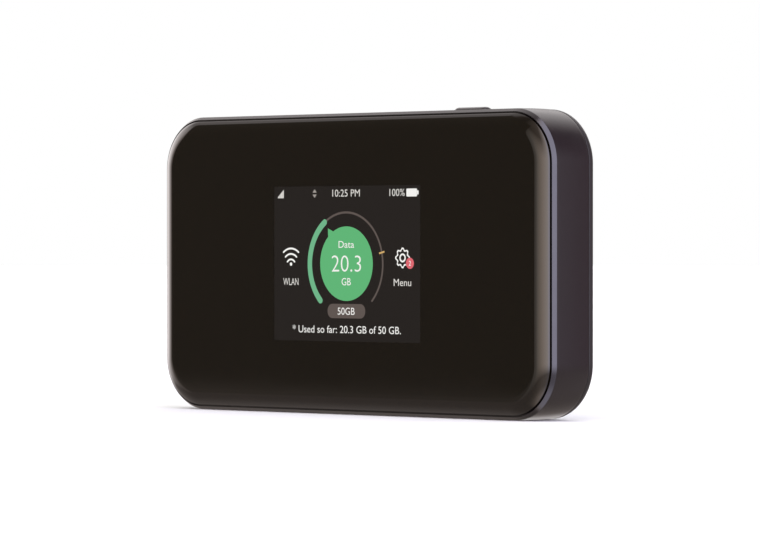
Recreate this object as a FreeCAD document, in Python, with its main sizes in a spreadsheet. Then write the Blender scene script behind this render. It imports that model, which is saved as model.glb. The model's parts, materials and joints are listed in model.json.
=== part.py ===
import FreeCAD, Part
import math
import os

import Sketcher
from FreeCAD import Vector

# Mobile hotspot: a pocket cellular router that stands on its long bottom edge.
# Frame: origin at the bottom centre, +X to the device's right seen from the front, +Z up,
# and the front lens faces -Y. "Depth" below is measured back from the front of the lens.

DIMENSIONS = (
    # outer shape
    ("body_width", 130.2, "outer width, along X"),
    ("body_height", 71.4, "outer height, along Z"),
    ("body_depth", 16.0, "outer depth, along Y"),
    ("corner_radius", 12.75, "radius of the outline's corners, seen from the front"),
    ("back_edge_radius", 1.8, "rounding of the rear cover's edge"),
    # front lens
    ("lens_inset", 1.2, "from the outline to the lens's edge"),
    ("lens_flat_inset", 4.6, "from the outline to where the lens's front becomes flat"),
    ("lens_edge_radius", 4.5, "radius of the curve along the lens's edge"),
    ("lens_blank_depth", 6.0, "depth of the block the lens is cut from"),
    ("lens_trim_margin", 3.0, "how far the trimming ring reaches outside the outline"),
    ("lens_thickness", 1.0, "lens over the display"),
    ("lens_rim_depth", 2.2, "back of the lens's rim"),
    ("lens_rim_inset", 3.2, "from the outline to the inside of the lens's rim"),
    ("adhesive_thickness", 0.15, "adhesive between the lens's rim and its shelf"),
    ("adhesive_outer_inset", 1.3, "from the outline to the adhesive ring"),
    ("adhesive_inner_inset", 3.0, "from the outline to the inside of the adhesive ring"),
    # frame
    ("frame_front", 1.82, "depth of the frame's front edge"),
    ("bevel_inset", 0.76, "how far the bevel reaches in from the outline"),
    ("bevel_end", 2.76, "depth where the bevel meets the side wall"),
    ("recess_inset", 0.81, "from the outline to the wall of the lens recess"),
    ("shelf_front", 2.35, "depth of the shelf that carries the lens"),
    ("shelf_back", 3.35, "depth of the shelf's back"),
    ("wall_thickness", 1.6, "frame's side walls"),
    ("seam_depth", 13.6, "depth where the frame ends and the rear cover begins"),
    ("seam_gap", 0.12, "gap between frame and rear cover"),
    ("window_width", 64.6, "display opening in the shelf, along X"),
    ("window_height", 43.8, "display opening in the shelf, along Z"),
    ("window_offset", 4.9, "centre of the display opening, along X"),
    ("window_corner", 1.0, "corner radius of the display opening"),
    ("opening_overrun", 0.5, "how far the wall openings are cut past the wall"),
    ("nail_notch_length", 12.0, "fingernail notch at the rear seam"),
    ("nail_notch_width", 1.4, "fingernail notch, across the seam"),
    ("nail_notch_depth", 0.9, "fingernail notch, into the wall"),
    ("nail_notch_corner", 0.45, "fingernail notch, corner radius"),
    # rear cover
    ("cover_thickness", 1.2, "rear cover's back wall"),
    ("lip_clearance", 0.15, "between the cover's lip and the frame's wall"),
    ("lip_thickness", 0.8, "cover's lip"),
    ("lip_length", 1.2, "how far the lip enters the frame"),
    # inner chassis and battery
    ("chassis_front", 8.2, "depth of the chassis plate's front"),
    ("chassis_plate", 0.8, "chassis plate thickness"),
    ("chassis_inset", 2.2, "from the outline to the chassis plate"),
    ("bay_wall", 1.0, "battery bay's wall"),
    ("bay_wall_back", 13.9, "depth of the bay wall's rear edge"),
    ("bay_clearance", 0.5, "between battery and bay wall"),
    ("battery_width", 76.0, "battery, along X"),
    ("battery_height", 54.0, "battery, along Z"),
    ("battery_thickness", 5.5, "battery, along Y"),
    ("battery_front", 9.1, "depth of the battery's front"),
    ("battery_x", -17.0, "battery's centre, along X"),
    ("battery_corner", 1.6, "battery's corner radius"),
    ("battery_edge", 0.5, "rounding of the battery's long edges"),
    ("thumb_notch_width", 16.0, "notch in the bay wall for lifting the battery"),
    ("thumb_notch_front", 10.4, "depth where the thumb notch starts"),
    ("contact_window_x", 24.3, "window in the chassis for the battery contacts, along X"),
    ("contact_window_width", 6.8, "contact window, along X"),
    ("contact_window_height", 13.2, "contact window, along Z"),
    ("sim_window_reach", 15.5, "chassis window past the SIM card, the way the card leaves"),
    ("sim_window_margin", 3.0, "chassis window above and below the SIM card"),
    ("usb_notch_z", 5.1, "centre of the chassis notch over the receptacle, along Z"),
    ("usb_notch_height", 6.0, "notch in the chassis over the receptacle, along Z"),
    ("usb_notch_depth", 1.6, "notch in the chassis over the receptacle, along Y"),
    ("button_notch_z", 67.7, "lower edge of the chassis notch under the power button"),
    # screws and bosses
    ("boss_radius", 1.7, "screw boss"),
    ("boss_bore", 0.85, "hole in a boss, radius"),
    ("boss_bore_depth", 4.4, "how deep a boss is drilled"),
    ("side_screw_x", 59.6, "side screws, from the centre"),
    ("side_screw_z", 21.7, "side screws, above and below mid height"),
    ("middle_screw_x", -20.0, "top and bottom screws, along X"),
    ("middle_screw_z", 31.1, "top and bottom screws, from mid height"),
    ("screw_shank", 0.8, "screw shank radius"),
    ("screw_head", 1.45, "screw head radius"),
    ("screw_head_height", 0.8, "screw head height"),
    ("screw_recess", 0.55, "driver recess, radius"),
    ("screw_length", 4.2, "screw shank length below the head"),
    ("screw_hole", 0.95, "hole in the chassis for a screw, radius"),
    ("board_screw_length", 2.0, "board screw shank length"),
    ("board_bore_depth", 2.2, "how deep a board boss is drilled"),
    ("board_screw_x", 48.0, "board screws, from the centre"),
    ("board_screw_z", 26.5, "board screws, from mid height"),
    # main board
    ("board_front", 5.6, "depth of the board's front"),
    ("board_thickness", 0.8, "circuit board"),
    ("board_width", 123.0, "board, along X"),
    ("board_height", 63.2, "board, along Z"),
    ("board_corner", 9.0, "board's corner radius"),
    ("boss_clearance", 1.95, "board's hole round a boss, radius"),
    ("board_hole", 0.9, "board's hole for a board screw, radius"),
    ("can_wall", 0.2, "shield can's sheet"),
    ("can_height", 1.6, "shield can, off the board"),
    # power button on the top edge
    ("button_x", 33.8, "button's centre, along X"),
    ("button_length", 10.6, "button, along X"),
    ("button_width", 3.0, "button, along Y"),
    ("button_height", 0.65, "how far the button stands out of the top edge"),
    ("button_edge", 0.25, "rounding of the button's top"),
    ("button_clearance", 0.12, "gap round the button in its hole"),
    ("button_flange_length", 12.0, "retaining flange, along X"),
    ("button_flange_width", 4.4, "retaining flange, along Y"),
    ("button_flange", 0.6, "retaining flange, thickness"),
    ("flange_gap", 0.05, "between the flange and the frame's wall"),
    ("button_stem", 0.75, "button's stem below the flange"),
    ("button_stem_length", 5.0, "button's stem, along X"),
    ("button_stem_width", 1.8, "button's stem, along Y"),
    ("plunger_clearance", 0.1, "round each switch plunger in its well"),
    ("plunger_well", 0.7, "depth of each plunger's well"),
    # charging receptacle in the bottom edge
    ("usb_length", 8.94, "receptacle shell, along X"),
    ("usb_thickness", 3.2, "receptacle shell, along Y"),
    ("usb_depth", 7.3, "receptacle shell, along Z"),
    ("usb_recess", 0.4, "receptacle's mouth above the bottom face"),
    ("usb_wall", 0.3, "receptacle's sheet"),
    ("usb_back", 1.0, "receptacle's closed end"),
    ("usb_clearance", 0.25, "opening in the frame round the receptacle"),
    # SIM card
    ("sim_width", 12.3, "card, along X"),
    ("sim_height", 8.8, "card, along Z"),
    ("sim_thickness", 0.67, "card, along Y"),
    ("sim_x", 32.8, "card's centre, along X"),
    ("sim_z", 20.5, "card's centre, along Z"),
    ("sim_front", 6.8, "depth of the card's front"),
    ("sim_corner", 1.65, "card's cut corner"),
    ("sim_round", 0.5, "card's other corners"),
    ("sim_clearance", 0.05, "slot's clearance round the card"),
    ("sim_socket_front", 6.4, "depth of the socket's front"),
    ("sim_socket_thickness", 1.5, "socket, along Y"),
    ("sim_socket_margin", 2.0, "socket above and below the card"),
    ("sim_socket_end", 0.45, "socket past each end of the card"),
    # reset switch
    ("reset_x", 56.0, "reset switch, along X"),
    ("reset_z", 42.0, "reset switch, along Z"),
    ("reset_plunger_radius", 0.7, "reset plunger"),
    ("reset_plunger_front", 7.3, "depth of the reset plunger's hidden end"),
    ("reset_plunger_length", 0.7, "reset plunger"),
    ("pin_hole", 0.85, "pin hole over the reset plunger, radius"),
    # display's flexible circuit, battery contacts and antenna clips
    ("flex_width", 11.0, "flexible circuit, along Z"),
    ("flex_thickness", 0.15, "flexible circuit's sheet"),
    ("flex_start_x", 33.45, "where the flex leaves the display cell, along X"),
    ("flex_turn_x", 36.45, "outer side of the flex's turn, along X"),
    ("flex_end_x", 40.4, "end of the flex on its connector, along X"),
    ("flex_start_depth", 1.9, "depth of the flex where it leaves the cell"),
    ("flex_end_depth", 4.15, "depth of the flex on its connector"),
    ("contact_block_x", 24.4, "battery contact block, along X"),
    ("contact_block_width", 4.4, "battery contact block, along X"),
    ("contact_block_height", 12.0, "battery contact block, along Z"),
    ("contact_block_depth", 6.0, "battery contact block, along Y"),
    ("contact_slot_width", 1.2, "slot for each contact spring, along X and Z"),
    ("contact_slot_front", 11.0, "depth where each contact slot starts"),
    ("contact_slot_depth", 1.6, "contact slot, along Y"),
    ("clip_width", 1.4, "antenna clip, along the wall"),
    ("clip_thickness", 0.8, "antenna clip, along Y"),
    ("clip_side_length", 2.6, "antenna clip at a side wall, from the board outwards"),
    ("clip_side_x", 61.9, "antenna clips at the side walls, from the centre"),
    ("clip_edge_length", 3.2, "antenna clip at the top or bottom wall"),
    ("clip_top_z", 67.9, "top antenna clip"),
    ("clip_bottom_z", 3.5, "bottom antenna clip"),
)

# Flat pieces: node, centre X, centre Z, width along X, height along Z, depth of the front, thickness.
PLATES = (
    ("touch_sensor", 2.6, 35.7, 59.0, 41.6, 1.02, 0.36),
    ("display_panel", 3.25, 35.7, 60.3, 42.7, 1.4, 0.9),
    ("display_backlight", 2.2, 35.7, 57.2, 42.2, 2.32, 1.28),
    ("display_backplate", 2.2, 35.7, 58.4, 42.6, 3.64, 0.3),
    ("display_connector", 39.3, 35.7, 3.4, 12.0, 4.4, 1.2),
    ("modem_chip", -37.0, 36.0, 14.0, 14.0, 6.4, 0.9),
    ("memory_chip", -21.5, 36.0, 11.5, 13.0, 6.4, 0.9),
    ("wifi_chip", 41.0, 46.0, 9.0, 9.0, 6.4, 0.9),
    ("power_chip", -4.0, 22.0, 7.0, 7.0, 6.4, 0.8),
    ("thermal_pad", -37.0, 36.0, 13.0, 13.0, 7.32, 0.46),
    ("heat_spreader", -18.0, 36.0, 66.0, 44.0, 8.03, 0.15),
    ("switch_plunger", 33.8, 67.54, 2.0, 1.6, 6.8, 0.9),
    ("cellular_antenna_left", -63.36, 35.7, 0.2, 38.0, 3.7, 7.9),
    ("cellular_antenna_right", 63.36, 35.7, 0.2, 38.0, 3.7, 7.9),
    ("wifi_antenna_top", -38.0, 69.66, 24.0, 0.2, 3.7, 7.9),
    ("wifi_antenna_bottom", 30.0, 1.74, 24.0, 0.2, 3.7, 7.9),
    ("usb_c_tongue", 0.0, 3.84, 6.7, 5.7, 7.65, 0.7),
)

# Switch housings, with the same columns as the flat pieces. Each has a well for its plunger.
SWITCHES = (
    ("switch_body", 33.8, 65.3, 4.7, 3.4, 6.4, 1.7),
    ("reset_switch", 56.0, 42.0, 3.2, 3.2, 6.4, 1.2),
)

# Heights of the four battery contacts.
CONTACT_HEIGHTS = (31.2, 34.2, 37.2, 40.2)

# Groups of like pieces that share a node: node, width, height, depth of the front, thickness, centres.
GROUPS = (
    ("rf_chips", 4.2, 3.4, 6.4, 0.8,
     ((-6.0, 40.0), (1.0, 40.0), (8.0, 40.0), (-6.0, 47.0), (1.0, 47.0), (8.0, 52.0))),
    ("power_inductors", 2.5, 2.5, 6.4, 1.1, ((4.0, 18.5), (4.0, 22.0), (4.0, 25.5))),
    ("battery_terminals", 0.1, 1.6, 10.6, 2.4, tuple((21.05, z) for z in CONTACT_HEIGHTS)),
    ("contact_springs", 1.2, 0.8, 11.2, 1.0, tuple((21.8, z) for z in CONTACT_HEIGHTS)),
)

# Shield cans: node, centre X, centre Z, width, height.
CANS = (
    ("modem_shield", -30.5, 36.0, 38.0, 32.0),
    ("rf_shield", 2.0, 46.0, 23.0, 22.0),
    ("power_shield", 0.0, 22.0, 22.0, 16.0),
    ("wifi_shield", 41.0, 46.0, 20.0, 20.0),
)

# Faces and edges closer than this, in millimetres, count as being in the same place.
TOUCHING = 1e-4

doc = FreeCAD.newDocument("mobile_hotspot")
sheet = doc.addObject("Spreadsheet::Sheet", "Dims")
sub_parts = []


def add_cell(alias, number, meaning):
    """Write one driving dimension: its meaning, its value and its alias."""
    add_cell.row += 1
    sheet.set(f"A{add_cell.row}", meaning)
    sheet.set(f"B{add_cell.row}", str(number))
    sheet.setAlias(f"B{add_cell.row}", alias)


add_cell.row = 0


def fill_sheet():
    """Write every driving dimension, and a row of cells for each piece in the tables."""
    for alias, number, meaning in DIMENSIONS:
        add_cell(alias, number, meaning)
    names = ("x", "z", "width", "height", "front", "thickness")
    for node, *numbers in PLATES + SWITCHES:
        for name, number in zip(names, numbers):
            add_cell(f"{node}_{name}", number, f"{node}: {name}")
    for node, width, height, front, thickness, _ in GROUPS:
        for name, number in zip(names[2:], (width, height, front, thickness)):
            add_cell(f"{node}_{name}", number, f"{node}: {name}")
    for node, *numbers in CANS:
        for name, number in zip(names, numbers):
            add_cell(f"{node}_{name}", number, f"{node}: {name}")
    doc.recompute()


def dim(alias):
    """The formula that reads one cell."""
    return f"Dims.{alias}"


def value(formula):
    """The number a formula gives now."""
    return float(sheet.evalExpression(str(formula)))


def at_depth(formula):
    """Y of a plane that lies this far behind the front of the lens."""
    return f"({formula}) - {dim('body_depth')} / 2"


def inset(size, distance):
    """An outline dimension, less a distance on both sides."""
    return f"{size} - 2 * ({distance})"


def keep(feature, label):
    """Name a finished sub-part and put it on the list of pieces to write."""
    feature.Label = label
    sub_parts.append(feature)
    return feature


# --- sketches and PartDesign features -------------------------------------------------------------

def new_body(label):
    """A PartDesign body for one sub-part."""
    return keep(doc.addObject("PartDesign::Body", label), label)


def sketch_on(body, role, across, up, offset):
    """An empty sketch on one of the body's origin planes, with its origin moved by three formulas."""
    sketch = body.newObject("Sketcher::SketchObject", "Sketch")
    plane = next(item for item in body.Origin.OriginFeatures if item.Role == role)
    sketch.AttachmentSupport = [(plane, "")]
    sketch.MapMode = "FlatFace"
    for axis, formula in zip("xyz", (across, up, offset)):
        sketch.setExpression(f".AttachmentOffset.Base.{axis}", str(formula))
    return sketch


def face_sketch(body, depth, across="0", up=None):
    """A sketch parallel to the front, at a depth, centred on the face unless told otherwise."""
    up = up or f"{dim('body_height')} / 2"
    return sketch_on(body, "XZ_Plane", across, up, f"-({at_depth(depth)})")


def constrain(sketch, name, formula, *arguments):
    """Add a driving constraint whose value follows a formula."""
    index = sketch.addConstraint(Sketcher.Constraint(*arguments, value(formula)))
    sketch.renameConstraint(index, name)
    sketch.setExpression(f"Constraints.{name}", str(formula))


def join_tangent(sketch, loop):
    """Join a closed loop of geometry end to start, each joint tangent."""
    for here, after in zip(loop, loop[1:] + loop[:1]):
        sketch.addConstraint(Sketcher.Constraint("Tangent", here, 2, after, 1))


def arc_at(x, y, radius, start, sweep):
    """A circular arc from a start angle, in degrees."""
    circle = Part.Circle(Vector(x, y, 0), Vector(0, 0, 1), radius)
    return Part.ArcOfCircle(circle, math.radians(start), math.radians(start + sweep))


def rounded_rectangle(sketch, width, height, radius):
    """A rectangle with round corners, centred on the sketch's origin."""
    half_w, half_h, r = value(width) / 2, value(height) / 2, value(radius)
    arcs = [arc_at(sx * (half_w - r), sy * (half_h - r), r, start, 90)
            for sx, sy, start in ((1, 1, 0), (-1, 1, 90), (-1, -1, 180), (1, -1, 270))]
    loop = []
    for arc, following in zip(arcs, arcs[1:] + arcs[:1]):
        loop.append(sketch.addGeometry(arc))
        loop.append(sketch.addGeometry(Part.LineSegment(arc.EndPoint, following.StartPoint)))
    join_tangent(sketch, loop)
    for side, direction in zip(loop[1::2], ("Horizontal", "Vertical", "Horizontal", "Vertical")):
        sketch.addConstraint(Sketcher.Constraint(direction, side))
    corners = loop[0::2]
    for corner in corners[1:]:
        sketch.addConstraint(Sketcher.Constraint("Equal", corners[0], corner))
    sketch.addConstraint(Sketcher.Constraint("Symmetric", corners[0], 3, corners[2], 3, -1, 1))
    constrain(sketch, f"Radius{loop[0]}", radius, "Radius", corners[0])
    constrain(sketch, f"Width{loop[0]}", width, "DistanceX", loop[3], 1, loop[7], 1)
    constrain(sketch, f"Height{loop[0]}", height, "DistanceY", loop[5], 1, loop[1], 1)


def slot(sketch, length, width):
    """A slot with round ends, its long way along the sketch's X, centred on the origin."""
    half, r = (value(length) - value(width)) / 2, value(width) / 2
    right, left = arc_at(half, 0, r, -90, 180), arc_at(-half, 0, r, 90, 180)
    loop = [sketch.addGeometry(item) for item in (
        right, Part.LineSegment(right.EndPoint, left.StartPoint),
        left, Part.LineSegment(left.EndPoint, right.StartPoint))]
    join_tangent(sketch, loop)
    sketch.addConstraint(Sketcher.Constraint("Horizontal", loop[1]))
    sketch.addConstraint(Sketcher.Constraint("Equal", loop[0], loop[2]))
    sketch.addConstraint(Sketcher.Constraint("Symmetric", loop[0], 3, loop[2], 3, -1, 1))
    constrain(sketch, "Radius", f"({width}) / 2", "Radius", loop[0])
    constrain(sketch, "Straight", f"({length}) - ({width})", "DistanceX", loop[2], 3, loop[0], 3)


def circles(sketch, centres, radius):
    """Equal circles round centres given as pairs of formulas."""
    first = None
    for number, (x, y) in enumerate(centres):
        centre = Vector(value(x), value(y), 0)
        index = sketch.addGeometry(Part.Circle(centre, Vector(0, 0, 1), value(radius)))
        constrain(sketch, f"X{number}", x, "DistanceX", -1, 1, index, 3)
        constrain(sketch, f"Y{number}", y, "DistanceY", -1, 1, index, 3)
        if first is None:
            first = index
            constrain(sketch, "Radius", radius, "Radius", index)
        else:
            sketch.addConstraint(Sketcher.Constraint("Equal", first, index))


def extrude(body, kind, sketch, length, reverse=False):
    """Pad or pocket a sketch, and stop if it changed the body's volume the wrong way."""
    doc.recompute()
    before = body.Shape.Volume if body.Shape and not body.Shape.isNull() else 0.0
    feature = body.newObject(f"PartDesign::{kind}", kind)
    feature.Profile = sketch
    feature.Reversed = reverse
    feature.setExpression("Length", str(length))
    doc.recompute()
    change = body.Shape.Volume - before
    if (change <= 0) if kind == "Pad" else (change >= 0):
        raise RuntimeError(f"{body.Label}: {feature.Name} changed the volume by {change:.4f} mm3")
    return feature


def pad(body, sketch, length, reverse=False):
    """Add material to a body."""
    return extrude(body, "Pad", sketch, length, reverse)


def pocket(body, sketch, length, reverse=False):
    """Take material from a body."""
    return extrude(body, "Pocket", sketch, length, reverse)


def edges_where(shape, test):
    """Names of the edges whose whole bounding box passes a test."""
    return [f"Edge{number}" for number, edge in enumerate(shape.Edges, start=1) if test(edge.BoundBox)]


def round_edges(body, test, radius):
    """Fillet the edges that pass a test."""
    doc.recompute()
    base = body.Tip
    feature = body.newObject("PartDesign::Fillet", "Fillet")
    feature.Base = (base, edges_where(base.Shape, test))
    feature.setExpression("Radius", radius)
    doc.recompute()
    return feature


def lies_at_y(y):
    """Test for edges that lie wholly in the plane of this Y."""
    return lambda box: abs(box.YMin - y) < TOUCHING and abs(box.YMax - y) < TOUCHING


def outline(sketch, distance):
    """The body's outline, drawn in by a distance on every side."""
    rounded_rectangle(sketch, inset(dim("body_width"), distance), inset(dim("body_height"), distance),
                      f"{dim('corner_radius')} - ({distance})")


# --- Part primitives ------------------------------------------------------------------------------

def place(feature, x, y, z):
    """Bind a primitive's corner or centre to formulas."""
    for axis, formula in zip("xyz", (x, y, z)):
        feature.setExpression(f".Placement.Base.{axis}", str(formula))


def block(name, x, z, width, height, front, thickness):
    """A box by its centre along X and Z, its size, and the depth of its front."""
    box = doc.addObject("Part::Box", name)
    box.setExpression("Length", str(width))
    box.setExpression("Width", str(thickness))
    box.setExpression("Height", str(height))
    place(box, f"({x}) - ({width}) / 2", at_depth(front), f"({z}) - ({height}) / 2")
    return box


def rod(name, x, z, radius, front, length):
    """A cylinder along Y by its axis, its radius, and the depth of its front."""
    cylinder = doc.addObject("Part::Cylinder", name)
    cylinder.setExpression("Radius", str(radius))
    cylinder.setExpression("Height", str(length))
    cylinder.Placement.Rotation = FreeCAD.Rotation(Vector(1, 0, 0), -90)
    place(cylinder, x, at_depth(front), z)
    return cylinder


def join(kind, name, pieces):
    """A fuse or compound of several primitives."""
    feature = doc.addObject(kind, name)
    if kind == "Part::MultiFuse":
        feature.Shapes = pieces
    else:
        feature.Links = pieces
    return feature


def cut(name, base, tool):
    """One primitive less another."""
    feature = doc.addObject("Part::Cut", name)
    feature.Base = base
    feature.Tool = tool
    return feature


# --- screw places ---------------------------------------------------------------------------------

MID = f"{dim('body_height')} / 2"


def chassis_screw_places():
    """Centres of the chassis screws from the middle of the face: four at the sides, two at the middle."""
    side_x, side_z = dim("side_screw_x"), dim("side_screw_z")
    middle_x, middle_z = dim("middle_screw_x"), dim("middle_screw_z")
    return [(f"{sx} * {side_x}", f"{sz} * {side_z}") for sx in (-1, 1) for sz in (-1, 1)] + [
        (middle_x, f"{sz} * {middle_z}") for sz in (-1, 1)]


def board_screw_places():
    """Centres of the board screws from the middle of the face."""
    return [(f"{sx} * {dim('board_screw_x')}", f"{sz} * {dim('board_screw_z')}")
            for sx in (-1, 1) for sz in (-1, 1)]


# --- sub-parts ------------------------------------------------------------------------------------

def make_cover_lens():
    """The front lens: a flat plate whose edge curves back to a rim that sits in the frame."""
    body = new_body("cover_lens")
    # A block somewhat larger than the lens takes the full edge curve, and is then trimmed to size.
    overhang = f"{dim('lens_flat_inset')} - {dim('lens_edge_radius')}"
    blank = face_sketch(body, dim("lens_blank_depth"))
    outline(blank, overhang)
    pad(body, blank, dim("lens_blank_depth"))
    round_edges(body, lies_at_y(value(at_depth("0"))), dim("lens_edge_radius"))
    trim = face_sketch(body, "0")
    outline(trim, dim("lens_inset"))
    outline(trim, f"-{dim('lens_trim_margin')}")
    pocket(body, trim, dim("lens_blank_depth"))
    back = face_sketch(body, dim("lens_rim_depth"))
    outline(back, "0")
    pocket(body, back, dim("lens_blank_depth"))
    hollow = face_sketch(body, dim("lens_thickness"))
    outline(hollow, dim("lens_rim_inset"))
    pocket(body, hollow, f"{dim('lens_rim_depth')} - {dim('lens_thickness')}")


def make_lens_adhesive():
    """The adhesive ring between the lens's rim and its shelf."""
    body = new_body("lens_adhesive")
    ring = face_sketch(body, f"{dim('lens_rim_depth')} + {dim('adhesive_thickness')}")
    outline(ring, dim("adhesive_outer_inset"))
    outline(ring, dim("adhesive_inner_inset"))
    pad(body, ring, dim("adhesive_thickness"))


def make_mid_frame():
    """The moulded frame: bevelled front edge, side walls, the lens's shelf and the screw bosses."""
    body = new_body("mid_frame")
    shell = face_sketch(body, dim("seam_depth"))
    outline(shell, "0")
    pad(body, shell, f"{dim('seam_depth')} - {dim('frame_front')}")

    front = value(at_depth(dim("frame_front")))
    solid = body.Tip
    bevel = body.newObject("PartDesign::Chamfer", "Bevel")
    bevel.Base = (solid, edges_where(solid.Shape, lies_at_y(front)))
    bevel.ChamferType = "Two distances"
    bevel.setExpression("Size", f"{dim('bevel_end')} - {dim('frame_front')}")
    bevel.setExpression("Size2", dim("bevel_inset"))
    doc.recompute()
    front_faces = [face for face in bevel.Shape.Faces if lies_at_y(front)(face.BoundBox)]
    expected = value(inset(dim("body_width"), dim("bevel_inset")))
    # Which of the two sizes lies on the front face depends on the edge's direction.
    if abs(front_faces[0].BoundBox.XLength - expected) > TOUCHING:
        bevel.FlipDirection = True
        doc.recompute()

    recess = face_sketch(body, dim("frame_front"))
    outline(recess, dim("recess_inset"))
    pocket(body, recess, f"{dim('shelf_front')} - {dim('frame_front')}")
    cavity = face_sketch(body, dim("seam_depth"))
    outline(cavity, dim("wall_thickness"))
    pocket(body, cavity, f"{dim('seam_depth')} - {dim('shelf_back')}", reverse=True)
    window = face_sketch(body, dim("shelf_front"), across=dim("window_offset"))
    rounded_rectangle(window, dim("window_width"), dim("window_height"), dim("window_corner"))
    pocket(body, window, f"{dim('shelf_back')} - {dim('shelf_front')}")

    tall = face_sketch(body, dim("chassis_front"))
    circles(tall, chassis_screw_places(), dim("boss_radius"))
    pad(body, tall, f"{dim('chassis_front')} - {dim('shelf_back')}")
    short = face_sketch(body, dim("board_front"))
    circles(short, board_screw_places(), dim("boss_radius"))
    pad(body, short, f"{dim('board_front')} - {dim('shelf_back')}")
    drill = face_sketch(body, dim("chassis_front"))
    circles(drill, chassis_screw_places(), dim("boss_bore"))
    pocket(body, drill, dim("boss_bore_depth"), reverse=True)
    drill = face_sketch(body, dim("board_front"))
    circles(drill, board_screw_places(), dim("boss_bore"))
    pocket(body, drill, dim("board_bore_depth"), reverse=True)

    button_hole = sketch_on(body, "XY_Plane", dim("button_x"), "0", dim("body_height"))
    slot(button_hole, f"{dim('button_length')} + 2 * {dim('button_clearance')}",
         f"{dim('button_width')} + 2 * {dim('button_clearance')}")
    through_wall = f"{dim('wall_thickness')} + {dim('opening_overrun')}"
    pocket(body, button_hole, through_wall)
    usb_hole = sketch_on(body, "XY_Plane", "0", "0", "0")
    slot(usb_hole, f"{dim('usb_length')} + 2 * {dim('usb_clearance')}",
         f"{dim('usb_thickness')} + 2 * {dim('usb_clearance')}")
    pocket(body, usb_hole, through_wall, reverse=True)
    notch = sketch_on(body, "YZ_Plane", at_depth(dim("seam_depth")), MID, f"-{dim('body_width')} / 2")
    rounded_rectangle(notch, dim("nail_notch_width"), dim("nail_notch_length"), dim("nail_notch_corner"))
    pocket(body, notch, dim("nail_notch_depth"), reverse=True)


def make_battery_cover():
    """The removable rear cover: a shallow tray with a rounded edge and a lip that enters the frame."""
    body = new_body("battery_cover")
    front = f"{dim('seam_depth')} + {dim('seam_gap')}"
    tray = face_sketch(body, dim("body_depth"))
    outline(tray, "0")
    pad(body, tray, f"{dim('body_depth')} - ({front})")
    round_edges(body, lies_at_y(value(at_depth(dim("body_depth")))), dim("back_edge_radius"))
    lip_outer = f"{dim('wall_thickness')} + {dim('lip_clearance')}"
    lip = face_sketch(body, front)
    outline(lip, lip_outer)
    pad(body, lip, dim("lip_length"))
    lip_front = f"{front} - {dim('lip_length')}"
    hollow = face_sketch(body, lip_front)
    outline(hollow, f"{lip_outer} + {dim('lip_thickness')}")
    pocket(body, hollow, f"{dim('body_depth')} - {dim('cover_thickness')} - ({lip_front})")


def make_inner_chassis():
    """The inner housing: a plate with the battery bay's walls, screwed to the frame's bosses."""
    body = new_body("inner_chassis")
    back = f"{dim('chassis_front')} + {dim('chassis_plate')}"
    plate = face_sketch(body, back)
    outline(plate, dim("chassis_inset"))
    pad(body, plate, dim("chassis_plate"))
    bay = face_sketch(body, dim("bay_wall_back"), across=dim("battery_x"))
    inner_w = f"{dim('battery_width')} + 2 * {dim('bay_clearance')}"
    inner_h = f"{dim('battery_height')} + 2 * {dim('bay_clearance')}"
    rounded_rectangle(bay, f"{inner_w} + 2 * {dim('bay_wall')}", f"{inner_h} + 2 * {dim('bay_wall')}",
                      f"{dim('battery_corner')} + {dim('bay_wall')}")
    rounded_rectangle(bay, inner_w, inner_h, dim("battery_corner"))
    pad(body, bay, f"{dim('bay_wall_back')} - ({back})")

    screws = face_sketch(body, dim("chassis_front"))
    circles(screws, chassis_screw_places(), dim("screw_hole"))
    pocket(body, screws, dim("chassis_plate"))
    pin = face_sketch(body, dim("chassis_front"))
    circles(pin, [(dim("reset_x"), f"{dim('reset_z')} - {MID}")], dim("pin_hole"))
    pocket(body, pin, dim("chassis_plate"))
    margin = dim("sim_window_margin")
    sim_centre = f"{dim('sim_x')} + {dim('sim_window_reach')} / 2 - {margin} / 2"
    sim = face_sketch(body, dim("chassis_front"), across=sim_centre, up=dim("sim_z"))
    rounded_rectangle(sim, f"{dim('sim_width')} + {dim('sim_window_reach')}",
                      f"{dim('sim_height')} + 2 * {margin}", f"{margin} / 2")
    pocket(body, sim, dim("chassis_plate"))
    contacts = face_sketch(body, dim("chassis_front"), across=dim("contact_window_x"))
    rounded_rectangle(contacts, dim("contact_window_width"), dim("contact_window_height"),
                      f"{dim('bay_wall')} / 2")
    pocket(body, contacts, f"{dim('bay_wall_back')} - {dim('chassis_front')} - {dim('bay_wall')}")
    usb = face_sketch(body, dim("chassis_front"), up=dim("usb_notch_z"))
    rounded_rectangle(usb, f"{dim('usb_length')} + 2 * {dim('bay_wall')}", dim("usb_notch_height"),
                      f"{dim('bay_wall')} / 2")
    pocket(body, usb, dim("usb_notch_depth"))
    button = face_sketch(body, dim("chassis_front"), across=dim("button_x"),
                         up=f"{dim('button_notch_z')} + {dim('button_flange_width')} / 2")
    rounded_rectangle(button, f"{dim('button_flange_length')} + 2 * {dim('bay_clearance')}",
                      dim("button_flange_width"), f"{dim('bay_wall')} / 2")
    pocket(body, button, dim("chassis_plate"))
    thumb = face_sketch(body, dim("thumb_notch_front"), across=dim("battery_x"),
                        up=f"{MID} - {dim('battery_height')} / 2 - {dim('bay_wall')}")
    rounded_rectangle(thumb, dim("thumb_notch_width"), f"2 * {dim('bay_wall')}", dim("bay_clearance"))
    pocket(body, thumb, f"{dim('bay_wall_back')} - {dim('thumb_notch_front')}")


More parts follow.
